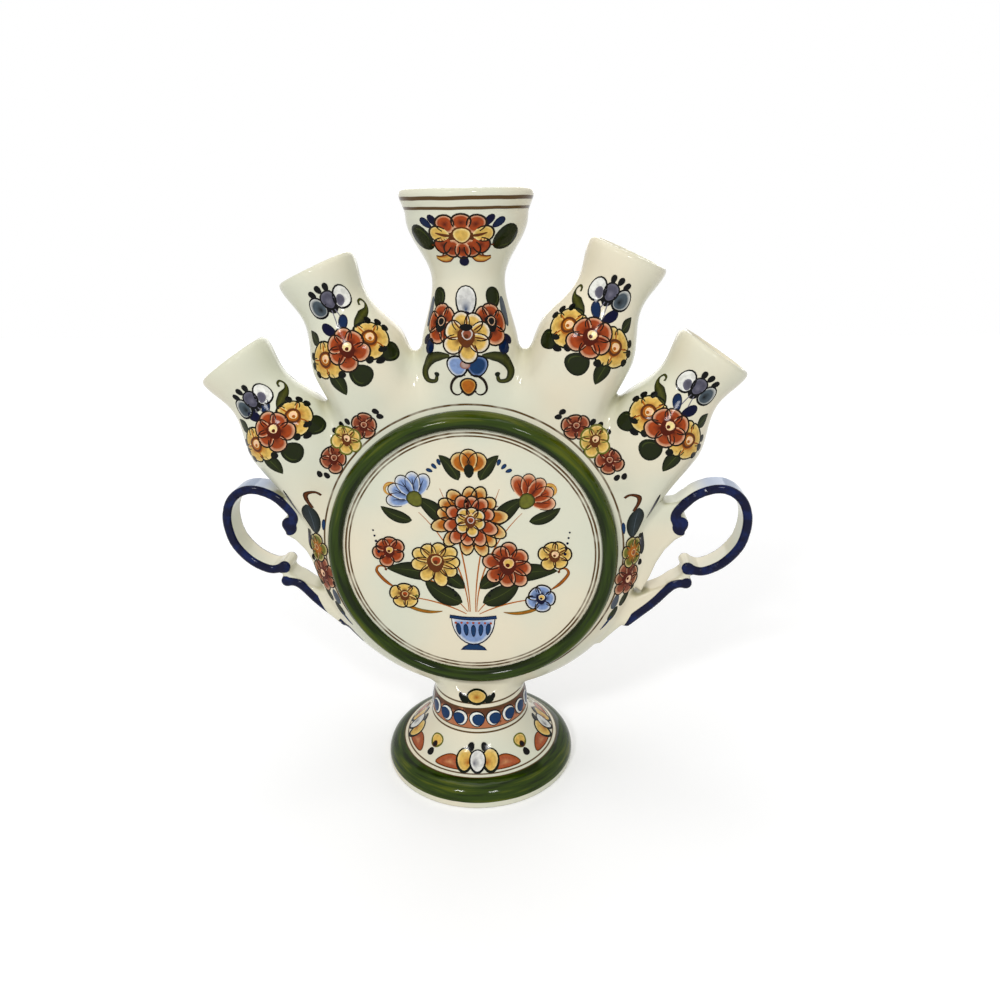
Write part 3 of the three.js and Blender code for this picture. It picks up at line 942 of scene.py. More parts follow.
def arc_line(u, v, length, turn, bend, points=12):
    """A line that starts at a mark with a heading and turns `bend` degrees along its length."""
    turns = np.radians(turn + bend * np.linspace(0, 1, points))
    step = length / (points - 1)
    moves = np.stack([np.sin(turns), np.cos(turns)], 1)[:-1] * step
    return np.vstack([[(u, v)], np.array([u, v]) + np.cumsum(moves, 0)])


def flicked(n, full, start=0.15, end=0.15, peak=0.4):
    """Widths of a brush line that swells and thins out."""
    t = np.linspace(0, 1, n)
    fuller = np.sin(math.pi / 2 * t / peak)
    thinner = np.cos(math.pi / 2 * (t - peak) / (1 - peak))
    rise = np.where(t < peak, fuller, thinner)
    floor = np.where(t < peak, start, end)
    return full * (floor + (1 - floor) * np.clip(rise, 0, 1))


def dab(p, u, v, length, width, turn, edge, heart=None, coat=3.0):
    p.blob(egg(u, v, length, width, turn, 12), edge, edge if heart is None else heart, coat,
           rings=(1.0, 0.6))


def dot(p, u, v, radius, colour=BLACK, coat=4.0):
    p.blob(disc(u, v, radius, 10), colour, colour, coat, rings=(1.0, 0.5))


def inked(p, outline, coat=3.4, width=0.42, colour=INK, share=(0.0, 1.0)):
    """An ink line round an outline, or round a share of it."""
    n = len(outline)
    first, last = int(round(share[0] * n)), int(round(share[1] * n))
    line = np.array([outline[i % n] for i in range(first, last + 1)])
    p.stroke(line, flicked(len(line), width, 0.55, 0.55, 0.5), colour, coat=coat)


def edged(p, outline, edge, heart, coat, ink_coat, ink_width, ink=INK, share=(0.0, 1.0), **more):
    """A filled dab with an ink line round it, or round a share of it."""
    p.blob(outline, edge, heart, coat, **more)
    inked(p, outline, ink_coat, ink_width, ink, share)


def heading(angle):
    """A step of one millimetre, by clockwise degrees from upright."""
    a = math.radians(angle)
    return np.array([math.sin(a), math.cos(a)])


def swelling(line, *widths):
    """Widths along a smoothed line, from the width at each of the marks it was drawn through."""
    last = len(widths) - 1
    return np.interp(np.linspace(0, last, len(line)), range(last + 1), widths)


PETAL_END = (-0.34, 0.34)


def flower(p, u, v, radius, petals, edge, heart, turn=0.0, core=RED_DEEP, middle=YELLOW_PALE,
           base=0.0, outline=INK, collar=None):
    """An open flower tipped a little upwards: pale-rimmed petals that overlap, inked round their
    ends, and a beaded middle with a ring of any `collar` colour."""
    heart_v = v + 0.1 * radius
    p.blob(disc(u, v, radius * 0.74, 16), core, core, base)
    for i in range(petals):
        angle = turn + 360.0 * i / petals + 7.0 * math.sin(5.1 * i + 3.0 * u)
        way = heading(angle)
        size = radius * (0.98 + 0.07 * math.sin(2.3 * i + u) - 0.1 * way[1])
        wide = 2 * math.pi * radius / petals * 0.82
        petal = egg(*((u, heart_v) + way * size * 0.58), size * 0.88, wide, angle)
        edged(p, petal, edge, heart, base + 0.8 + 0.7 * (i % 3), base + 3.4, 0.62, outline, PETAL_END,
              focus=(u, heart_v) + way * size * 0.36, core=core)
        crease = heading(angle + 180 / petals) * np.linspace(0.36, 0.84, 5)[:, None] * radius
        p.stroke((u, heart_v) + crease, flicked(5, 0.6, 0.6, 0.3), core, coat=base + 3.2)
    p.blob(egg(u, heart_v - 0.08 * radius, radius * 0.84, radius * 0.7, 0), core, core, base + 4.0)
    if collar:
        ring = disc(u, heart_v, radius * 0.36, 16)
        p.stroke(np.vstack([ring, ring[:1]]), radius * 0.13, collar, coat=base + 4.6)
    p.blob(disc(u + 0.04 * radius, heart_v + 0.03 * radius, radius * 0.22, 10), edge, middle, base + 5.0)
    dot(p, u, heart_v - 0.05 * radius, radius * 0.09, core, base + 5.8)


def cup_flower(p, u, v, radius, turn, edge, heart, core, base=0.0):
    """A flower seen from the side: three lobes spreading from its foot."""
    for lobe, spread in enumerate((-42.0, 42.0, 0.0)):
        way = heading(turn + spread)
        outline = egg(*((u, v) + way * radius * 0.55), radius * 1.1, radius * 0.85, turn + spread)
        edged(p, outline, edge, heart, base + 0.6 + 0.7 * lobe, base + 3.2, 0.5, INK, PETAL_END,
              focus=(u, v) + way * radius * 0.35, core=core)
    p.blob(egg(u, v, radius * 0.7, radius * 0.5, turn, 10), core, core, base + 3.6)


def leaf(p, u, v, length, width, turn, bend, dark=LEAF, light=LEAF_LIGHT, coat=0.4):
    """A pointed leaf from its foot, with a lighter vein."""
    line = arc_line(u, v, length, turn, bend, 14)
    t = np.linspace(0, 1, 14)
    widths = width * (np.sin(math.pi * t ** 0.8) ** 0.8 + 0.04)
    p.stroke(line, widths, dark, mixed(dark, light, 0.35), coat=coat, across=7)
    p.stroke(line[1:-2], flicked(11, 0.32, 0.5, 0.2), light, coat=coat + 1.2)


def round_leaf(p, u, v, length, width, turn, dark=LEAF, light=LEAF_LIGHT, coat=0.4):
    """A leaf as one round dab with a lighter edge on one side."""
    p.blob(egg(u, v, length, width, turn, 20), dark, mixed(dark, light, 0.22), coat)
    shine = egg(u, v, length * 0.68, width * 0.68, turn, 20)[2:9]
    p.stroke(shine, flicked(7, 0.55, 0.3, 0.3), mixed(dark, light, 0.8), coat=coat + 1.3)


def curl(p, u, v, length, width, turn, bend, colour, heart, hook):
    """A thick leaf-like stroke that ends in a hook with a bead."""
    body = arc_line(u, v, length, turn, bend, 12)
    tail = arc_line(*body[-1], length * 0.75, turn + bend, math.copysign(hook, bend), 12)
    line = np.vstack([body, tail[1:]])
    p.stroke(line, flicked(len(line), width, 0.2, 0.28, 0.28), colour, heart)
    dot(p, *line[-1], width * 0.28 + 0.16, colour, 2.8)


# Where the brushwork goes

SPRIG_RADIUS = 16.0
SPOUT_CAST_FROM = 9.0
FACE_CAST_FROM = 40.0
RIM_CAST_FROM = 29.0
STAND_CAST_FROM = 12.0
# The shoulder's turn over its edge: the mark halfway round it, how close marks lie, its radius
SHOULDER_MARK = 12.0
SHOULDER_SQUEEZE = 0.72
SHOULDER_TURN = 15.0


def spout_cast(name, side):
    """Marks round a spout: v is minus the drop below its lip; `side` is -1 in front, 1 behind."""
    lip, way, _ = spout_frame(name)

    def cast(marks):
        turn = marks[:, 0] / SPRIG_RADIUS
        drop = -marks[:, 1]
        out = np.stack([np.sin(turn) * way[1] * -side, np.cos(turn) * side,
                        np.sin(turn) * way[0] * side], 1)
        axis = np.stack([lip[0] - way[0] * drop, 0 * drop, lip[1] - way[1] * drop], 1)
        reach = spout_radius(name, drop)[:, None] + SPOUT_CAST_FROM
        return axis + out * reach, -out
    return cast


def face_cast(side):
    """Marks on the drum's face, in XZ."""
    def cast(marks):
        n = len(marks)
        starts = np.stack([marks[:, 0] * -side, np.full(n, side * FACE_CAST_FROM), marks[:, 1]], 1)
        return starts, np.tile([0.0, -side, 0.0], (n, 1))
    return cast


def rim_cast(side):
    """Marks on the drum's shoulder: u runs clockwise round it, v inwards to outwards."""
    def cast(marks):
        turn = marks[:, 0] / SEAM_RADIUS
        tilt = (SHOULDER_MARK + SHOULDER_SQUEEZE * (marks[:, 1] - SHOULDER_MARK)) / SHOULDER_TURN
        radial = np.stack([np.sin(turn) * -side, 0 * turn, np.cos(turn)], 1)
        depth = np.array([0.0, side, 0.0])
        way = radial * np.sin(tilt)[:, None] + depth * np.cos(tilt)[:, None]
        return radial * SHOULDER_START + way * RIM_CAST_FROM, -way
    return cast


def stand_cast(radius, height, tilt):
    """Marks round the stem or foot: u runs to the right round it, v up its slope from a ring."""
    def cast(marks):
        turn = marks[:, 0] / radius
        around = np.stack([np.sin(turn), -np.cos(turn), 0 * turn], 1)
        upright = np.array([0.0, 0.0, 1.0])
        way = around * math.cos(tilt) + upright * math.sin(tilt)
        up = -around * math.sin(tilt) + upright * math.cos(tilt)
        foot = around * radius + upright * (height - DRUM_HEIGHT)
        return foot + up * marks[:, 1:2] + way * STAND_CAST_FROM, -way
    return cast


# Where the tulip sits on each side spout, as its middle petal's (u, v) on the left-hand side
TULIPS = {"outer_left": (0.4, -16.4), "inner_left": (2.9, -12.6), "inner_right": (1.4, -14.4),
          "outer_right": (0.2, -13.2)}


def side_sprig(p, name, mirror):
    """The flower spray on a side spout. `mirror` is 1 on the left spouts and -1 on the right."""
    def at(u, v):
        return mirror * u + 0.3, v

    def way(turn):
        return mirror * turn

    round_leaf(p, *at(13.8, -37.6), 7.4, 6.8, way(80))
    round_leaf(p, *at(1.6, -40.2), 8.4, 8.0, way(150))
    leaf(p, *at(-7.0, -35.0), 9.6, 5.0, way(172), way(14))
    leaf(p, *at(-8.8, -24.6), 6.4, 4.2, way(-42), way(16))
    for u, v, turn in ((9.8, -30.6, 22), (-7.4, -31.0, 50)):
        flower(p, *at(u, v), 6.6, 4, YELLOW_PALE, YELLOW, way(turn), OCHRE, PEACH, outline=LEAF,
               collar=BROWN)
    flower(p, *at(1.5, -30.4), 7.2, 6, PEACH, RED, way(12), base=3.0)
    for u, v, turn in ((13.2, -24.4, 30), (16.3, -26.6, 55), (17.0, -29.4, 80), (-13.9, -27.8, -70),
                       (-14.2, -31.0, -90), (-13.0, -34.2, -115), (-3.9, -37.2, 190),
                       (6.4, -36.6, 150)):
        dab(p, *at(u, v), 2.8, 2.6, way(turn), BLACK)
    for u, v in ((11.6, -35.4), (9.4, -38.6)):
        dab(p, *at(u, v), 3.2, 2.2, way(100), BLACK)
    p.blob(egg(*at(-2.4, -21.8), 6.8, 3.8, way(-46)), NAVY, NAVY, 1.4)
    p.blob(egg(*at(4.0, -21.6), 6.6, 3.6, way(42)), NAVY, mixed(NAVY, BLUE, 0.5), 1.6)
    tulip(p, at, way, *TULIPS[name])
    stem = smooth_line([at(*mark) for mark in (
        (7.4, -24.6), (9.6, -23.4), (13.0, -22.0), (16.6, -20.8),
        (18.4, -18.8), (17.4, -17.0), (15.4, -17.2), (14.8, -18.6))])
    p.stroke(stem, swelling(stem, 0.8, 3.0, 3.8, 1.8, 1.0, 0.9, 0.9, 1.0), LEAF, mixed(LEAF, OLIVE, 0.5))


def tulip(p, at, way, u, v):
    """A small tulip of three round petals in greys, with black dabs over them."""
    for k in (-0.6, 0.8):
        p.stroke(arc_line(*at(u + k, v - 3.4), 6.0, way(176 - 14 * k), way(6), 6), 0.4, GREY, coat=1.0)
    p.blob(disc(*at(u + 0.4, v - 1.8), 3.2), BLACK, BLACK, 1.0)
    for across, up, length, width, turn, edge, heart, core, coat in (
            (-5.6, -1.2, 8.0, 7.2, -50, WHITE, TEAL_GREY, BLACK, 1.4),
            (6.0, -0.9, 8.2, 8.0, 52, WHITE, WHITE, GREY, 1.8),
            (0.2, 0.0, 6.6, 6.2, -6, GREY, mixed(GREY, NAVY, 0.5), GREY, 2.8)):
        edged(p, egg(*at(u + across, v + up), length, width, way(turn)), edge, heart, coat, coat + 1.0,
              0.8, BLACK, focus=at(u + across * 0.86, v + up - 0.8), core=core)
    dab(p, *at(u + 4.8, v - 1.6), 4.4, 3.6, way(40), GREY, mixed(GREY, NAVY, 0.4), 3.2)
    for across, up, turn in ((-5.0, 3.8, -40), (-1.8, 4.6, -20), (1.4, 4.4, 4)):
        dab(p, *at(u + across, v + up), 3.2, 2.4, way(turn), BLACK)


def centre_sprigs(p):
    """The two sprays on the middle spout."""
    p.blob(egg(0.2, -15.2, 12.4, 15.0, 0), RED_DEEP, BROWN, 0.2)
    for m in (-1, 1):
        round_leaf(p, m * 13.0 + 0.3, -15.8, 9.4, 7.8, m * 56)
        dab(p, m * 7.2, -10.2, 4.6, 2.2, m * 38, NAVY, coat=0.6)
        dab(p, m * 9.8 + 0.2, -10.9, 4.6, 2.4, m * 48, NAVY, mixed(NAVY, BLUE, 0.3), 0.6)
        crescent = smooth_line([(m * 2.6, -20.8), (m * 5.0, -22.2), (m * 7.6, -22.6), (m * 9.8, -22.0)])
        widths = swelling(crescent, 0.4, 2.0, 1.5, 0.3)
        p.stroke(crescent, widths + 0.8, BROWN, coat=0.8)
        p.stroke(crescent, widths, OCHRE, YELLOW, coat=1.6)
        hook = smooth_line([(m * 9.6, -18.0), (m * 7.4, -18.2), (m * 6.2, -20.0), (m * 7.0, -21.6)])
        p.stroke(hook, 0.5, BROWN, coat=1.8)
        for u, v, turn, edge, heart, core in (
                (3.9, -11.3, 28, PEACH, RED, RED_DEEP), (3.0, -19.0, 155, PEACH, RED, RED_DEEP),
                (5.6, -17.9, 125, RED, RED, RED_DEEP), (6.0, -14.4, 80, YELLOW_PALE, YELLOW, YELLOW)):
            edged(p, egg(m * u, v, 5.8, 4.8, m * turn), edge, heart, 1.2 + 0.3 * u, 3.6, 0.62, INK,
                  PETAL_END, core=core)
        streak = smooth_line([(m * 2.8, -14.9), (m * 4.8, -14.7), (m * 7.0, -14.0)])
        p.stroke(streak, flicked(len(streak), 0.9, 0.5, 0.2), BROWN, coat=5.6)
    for v, turn in ((-10.8, 0), (-19.6, 180)):
        edged(p, egg(0.2, v, 5.4, 4.8, turn), PEACH, RED, 2.6, 3.8, 0.6, INK, (-0.32, 0.32),
              core=RED_DEEP)
    p.blob(disc(0.2, -14.8, 2.7), BROWN, BROWN, 4.2)
    p.blob(disc(0.2, -14.8, 2.2), YELLOW_PALE, YELLOW, 5.2)
    dab(p, 0.4, -23.2, 3.4, 3.4, 180, NAVY)

    edged(p, egg(0.4, -36.8, 10.4, 8.2, 0), WHITE, mixed(WHITE, GREY, 0.3), 1.0, 2.0, 0.75, BLACK,
          focus=(0.4, -39.6), core=BLUE)
    dab(p, 0.4, -42.0, 4.0, 3.6, 0, NAVY, NAVY, 2.2)
    for m in (-1, 1):
        round_leaf(p, m * 12.4, -36.0, 7.4, 7.4, m * 16)
        horn = smooth_line([(m * 5.6, -55.2), (m * 9.2, -55.4), (m * 13.2, -57.0), (m * 15.8, -60.8),
                            (m * 14.6, -64.4), (m * 11.8, -64.6), (m * 11.0, -62.2)])
        p.stroke(horn, swelling(horn, 1.0, 3.2, 4.0, 3.0, 1.8, 1.3, 1.0), LEAF, mixed(LEAF, OLIVE, 0.4),
                 coat=1.6)
        dot(p, m * 11.0, -62.2, 0.9, LEAF, 2.4)
        dab(p, m * 13.4, -52.4, 6.0, 4.4, m * 165, NAVY, mixed(NAVY, BLUE, 0.3), 1.2)
        dab(p, m * 15.8, -50.2, 4.4, 2.8, m * 140, NAVY, NAVY, 1.2)
        curl(p, m * 1.0 + 0.5, -62.4, 8.6, 0.95, m * 84, m * 92, INK, INK, 160)
        round_leaf(p, m * 17.4, -41.0, 10.4, 3.6, m * 0, TEAL_GREY, GREY)
        flower(p, m * 9.6, -44.6, 6.9, 5, PEACH, RED, m * 15, BLACK, BLACK)
        edge, heart = (WHITE, BLUE_PALE) if m < 0 else (BLUE_PALE, BLUE)
        edged(p, egg(m * 3.4 + 0.4, -58.8, 7.4, 7.6, m * 112), edge, heart, 1.0, 2.2, 0.8, BLACK)
    dab(p, -0.4, -58.2, 3.4, 3.8, 180, ROSE, mixed(ROSE, WHITE, 0.3), 2.8)
    edged(p, egg(0.4, -66.6, 6.2, 6.6, 0), YELLOW, OCHRE, 2.0, 3.2, 0.9)
    flower(p, 0.4, -48.8, 8.5, 7, WHITE, YELLOW, 26, BROWN, ROSE, base=3.0)
    dab(p, 0.4, -45.4, 2.4, 4.6, 0, BLACK, BLACK, 8.6)


def shoulder(m, angle, radius):
    """A place on the drum's shoulder, by clock angle and distance from the drum's middle."""
    return heading(m * angle) * radius


def garland(p, m):
    """Three flowers on the shoulder between the outer spouts and the ring."""
    for angle, turn in ((38.2, 26), (54.6, 210)):
        flower(p, *shoulder(m, angle, 62.7), 5.0, 5, PEACH, mixed(RED, ROSE, 0.6), m * (angle + turn),
               RED_DEEP, ROSE)
    flower(p, *shoulder(m, 46.4, 63.2), 5.7, 6, YELLOW_PALE, YELLOW, 10, BROWN, PEACH, base=5.0,
           outline=OLIVE)
    for angle, radius, turn in (
            (31.6, 64.6, 60), (31.4, 62.2, 80), (61.4, 64.6, 200), (60.8, 62.0, 220),
            (44.0, 68.4, 40), (47.2, 68.6, 50), (41.4, 67.8, 30), (46.6, 58.8, 220)):
        dab(p, *shoulder(m, angle, radius), 2.8, 2.0, m * turn, BLACK)


def tail_stroke(p, side):
    """The navy line under the left handle's tail, as it runs out on the drum's edge."""
    line = smooth_line([(side * -x, z) for x, z in (
        (-56.4, -34.4), (-54.3, -36.4), (-52.2, -37.4), (-50.4, -39.4), (-48.6, -41.4), (-46.8, -43.4))])
    p.stroke(line, np.linspace(2.2, 0.6, len(line)), NAVY, mixed(NAVY, BLUE, 0.3), coat=1.0)


def flank(p, m):
    """The upright panel of flowers on the drum's side, close to the ring."""
    hook = [(m * u, v) for u, v in ((86.0, 12.4), (83.2, 13.6), (80.6, 13.8), (79.0, 12.4), (79.6, 10.8))]
    p.stroke(smooth_line(hook), 0.9, INK, BROWN, coat=1.0)
    leaf(p, m * 98.0, 12.2, 13.0, 7.0, m * -86, m * 6, LEAF, TEAL_GREY)
    dab(p, m * 92.6, 7.6, 5.4, 1.9, m * -88, NAVY, BLUE, 1.0)
    for u, v, length, width in ((87.0, 18.6, 9.0, 1.6), (102.4, 19.8, 9.6, 2.2)):
        round_leaf(p, m * u, v, length, width, m * 88, LEAF, GREY)
    round_leaf(p, m * 126.4, 15.4, 8.4, 4.6, m * 100)
    round_leaf(p, m * 128.4, 9.8, 8.0, 4.0, m * 84, TEAL_GREY, GREY)
    round_leaf(p, m * 134.6, 12.6, 8.0, 4.4, m * 92)
    p.stroke(arc_line(m * 136.0, 12.6, 8.0, m * 90, m * 16, 7), flicked(7, 1.6, 0.6, 0.2), NAVY, BLUE)
    flower(p, m * 116.8, 12.0, 8.2, 7, PEACH, ROSE, 20, RED_DEEP, PEACH, base=1.0)
    flower(p, m * 104.6, 12.6, 6.8, 6, YELLOW_PALE, OLIVE, 0, OCHRE, ROSE, base=5.0)
    for u, v, turn in ((98.6, 18.2, 20), (110.4, 19.6, 90), (121.4, 18.6, 100), (121.6, 6.6, 80)):
        dab(p, m * u, v, 2.8, 2.0, m * turn, BLACK)


WREATH_RADIUS = 31.5
WREATH_HEIGHT = 10.3
WREATH_TILT = math.radians(42.6)
WREATH_GROUPS = 4
BEAD_RADIUS = 20.0
BEAD_HEIGHT = 28.5
BEADS = 18
BEAD_LEAF_HEIGHT = 36.4


def wreath_quarter(p):
    """A group of petals on the foot's slope, and the bud between it and the next."""
    quarter = 2 * math.pi / WREATH_GROUPS * WREATH_RADIUS
    c = 0.03 * quarter
    for m in (-1, 1):
        hump = [(5.0, 1.3), (10.0, 1.2), (15.0, 1.2), (19.4, 1.6), (18.6, 3.8), (15.4, 6.0), (11.8, 6.6),
                (8.4, 5.2)]
        hump = smooth_line([(c + m * u, v) for u, v in hump + hump[:1]], 3)[:-1]
        edged(p, hump, mixed(RED, OCHRE, 0.4), mixed(RED, PEACH, 0.08), 0.8, 1.8, 0.5, BROWN,
              core=mixed(OCHRE, PEACH, 0.3))
        edged(p, egg(c + m * 6.2, 5.2, 9.4, 7.6, m * 10), YELLOW_PALE, YELLOW, 3.6, 5.0, 1.1, LEAF,
              focus=(c + m * 4.2, 4.2), core=OCHRE)
        dab(p, c + m * 3.6, 10.6, 3.6, 3.8, m * 30, BLACK, coat=9.0)
    edged(p, egg(c, 5.0, 9.0, 7.4, 0), WHITE, mixed(WHITE, GREY, 0.15), 6.0, 7.4, 0.9, BLACK,
          focus=(c - 1.6, 4.0), core=mixed(GREY, BLACK, 0.3))
    bud = c + quarter / 2
    edged(p, egg(bud, 9.2, 5.2, 7.6, 0), YELLOW_PALE, YELLOW, 1.2, 2.2, 1.0, OLIVE)
    dab(p, bud, 7.6, 2.8, 3.2, 180, BROWN, BLACK, 3.6)
    dab(p, bud, 4.2, 3.4, 3.4, 180, BLACK)


def belt_bead(p, number, aside):
    """One blue bead on the belt, with a white crescent on one side."""
    u = 2 * math.pi * BEAD_RADIUS * number / BEADS
    p.blob(egg(u, -0.6, 7.0, 6.6, 0), BLACK, BLACK, 0.6)
    p.blob(egg(u, -0.6, 6.0, 5.8, 0), WHITE, WHITE, 2.4)
    p.blob(disc(u + aside, -0.8, 2.5, 16), mixed(NAVY, BLUE, 0.6), BLUE, 4.2)


def stem_beads(p):
    """The yellow bead between two dark leaves above the belt, in front and behind."""
    for u in (0.6, math.pi * STEM_RADIUS):
        for m in (-1, 1):
            dab(p, u + m * 5.2, -0.8, 4.2, 2.6, m * 56, LEAF)
            dab(p, u + m * 6.8, 0.2, 2.8, 1.6, m * 30, BLACK)
        edged(p, egg(u, 0.0, 4.6, 8.2, 0), YELLOW_PALE, YELLOW, 4.0, 5.0, 1.0, LEAF, core=OCHRE)


FAN_PETALS = 5
FAN_SPREAD = 118.0


def fan_flower(p, u, v, radius, turn, edge, heart, core, base=0.0):
    """A flower opened like a fan, seen from its side, on a green cup."""
    order = sorted(range(FAN_PETALS), key=lambda i: -abs(i - (FAN_PETALS - 1) / 2))
    for rank, i in enumerate(order):
        angle = turn + FAN_SPREAD * (i / (FAN_PETALS - 1) - 0.5)
        way = heading(angle)
        outline = egg(*((u, v) + way * radius * 0.58), radius * 0.9, radius * 0.52, angle)
        edged(p, outline, edge, heart, base + 0.6 + 0.5 * rank, base + 3.6, 0.4, INK, (-0.3, 0.3),
              focus=(u, v) + way * radius * 0.36, core=core)
        p.stroke((u, v) + way * np.linspace(0.35, 0.8, 5)[:, None] * radius,
                 flicked(5, 0.45, 0.6, 0.2), core, coat=base + 3.8)
    p.blob(egg(u, v, radius * 0.66, radius * 0.56, turn, 12), LEAF, OLIVE, base + 4.4)


def stalk(p, u, v, length, turn, bend):
    p.stroke(arc_line(u, v, length, turn, bend, 14), flicked(14, 0.55, 0.5, 0.3), OCHRE, coat=0.6)


def bouquet(p):
    """A bunch of garden flowers in a footed bowl, on the picture field."""
    for m in (-1, 1):
        for u, v, length, turn, bend in ((1.5, -24, 46, 4, 42), (2.0, -24, 34, 38, 34),
                                         (2.5, -25, 26, 62, 26), (1.0, -24, 52, 2, 20)):
            stalk(p, m * u, v, length, m * turn, m * bend)
        for u, v, length, width, turn, bend, coat in (
                (4.0, -20.0, 17.0, 7.6, 70, -28, 0.8), (3.0, -14.0, 18.0, 6.4, 46, 22, 0.9),
                (9.0, 12.0, 16.0, 6.0, 30, 34, 0.9), (13.0, -9.0, 20.0, 7.0, 72, 20, 1.0),
                (4.0, 30.0, 12.0, 4.8, 22, 30, 0.9), (22.0, 14.0, 13.0, 4.6, 80, -34, 1.1)):
            leaf(p, m * u, v, length, width, m * turn, m * bend, coat=coat)
        curl(p, m * 12.0, -24.0, 13.0, 1.5, m * 100, m * -40, OLIVE, OCHRE, -200)
        curl(p, m * 20.0, 24.0, 10.0, 1.6, m * 50, m * 30, OCHRE, YELLOW, 200)
        curl(p, m * 30.0, -14.0, 9.0, 1.3, m * 60, m * -30, BROWN, OCHRE, -210)
        for k in range(5):
            dot(p, m * (6.6 + 0.9 * k), -17.0 + 2.3 * k, 0.55 - 0.03 * k)
            dot(p, m * (35.5 + 0.4 * k), 1.0 + 2.2 * k, 0.6 - 0.06 * k, NAVY)
        for k in range(3):
            dab(p, m * (11.0 + 1.8 * k), 37.0 - 1.6 * k, 2.6, 1.4, m * (20 + 24 * k), NAVY, BLUE, 3.0)
    fan_flower(p, -20.5, 22.5, 10.5, -34, WHITE, BLUE_PALE, NAVY, 1.0)
    fan_flower(p, 21.0, 22.0, 10.5, 36, PEACH, RED, RED_DEEP, 1.0)
    for u, v, radius, petals, edge, heart, turn, core, middle in (
            (-31.5, 1.0, 6.2, 6, PEACH, RED, 10, RED_DEEP, YELLOW),
            (31.5, 0.0, 6.2, 6, YELLOW_PALE, YELLOW, 30, BROWN, PEACH),
            (-26.5, -17.5, 5.6, 5, YELLOW_PALE, YELLOW, 0, BROWN, RED),
            (26.5, -18.0, 5.6, 5, WHITE, BLUE_PALE, 20, NAVY, YELLOW)):
        flower(p, u, v, radius, petals, edge, heart, turn, core, middle, base=1.0)
    cup_flower(p, 0.0, 33.6, 7.6, 0, YELLOW_PALE, OCHRE, LEAF, 1.6)
    flower(p, -13.8, -3.6, 9.4, 9, YELLOW_PALE, YELLOW, 12, BROWN, RED, base=1.6)
    flower(p, 13.8, -4.4, 9.4, 8, PEACH, RED, 8, RED_DEEP, YELLOW, base=1.6)
    for radius, petals, edge, heart, turn, core, middle, base in (
            (14.0, 13, YELLOW_PALE, OCHRE, 0, BROWN, YELLOW, 2.0),
            (10.4, 10, PEACH, RED, 6, RED_DEEP, YELLOW, 6.0),
            (6.0, 7, WHITE, YELLOW, 14, BROWN, RED, 10.0)):
        flower(p, 0.0, 13.6, radius, petals, edge, heart, turn, core, middle, base)
    bowl(p)


def bowl(p):
    """The little blue and white bowl that the bunch stands in."""
    foot = np.array([(-5.2, -41.0), (5.2, -41.0), (4.2, -39.6), (1.9, -38.2), (-1.9, -38.2),
                     (-4.2, -39.6)])
    p.blob(foot, NAVY, BLUE, 2.4)
    t = np.linspace(0, math.pi, 15)
    cup = np.stack([-8.6 * np.cos(t) * (1 - 0.12 * np.sin(t)), -26.4 - 12.0 * np.sin(t) ** 0.8], 1)
    p.blob(cup, WHITE, BLUE_PALE, 2.8)
    inked(p, np.vstack([cup, cup[::-1][:1]]), 3.8, 0.55, NAVY)
    for k in range(-2, 3):
        dab(p, 2.9 * k, -31.6 - 0.4 * (2 - abs(k)), 5.4, 2.0, 4 * k, NAVY, BLUE, 4.0)
    p.stroke(np.array([(-9.2, -26.2), (-4.0, -26.9), (0.0, -27.1), (4.0, -26.9), (9.2, -26.2)]), 1.5,
             NAVY, BLUE, 4.6)
    for k in range(-3, 4):
        dot(p, 2.3 * k, -28.9, 0.5, RED, 4.4)


# Glazes

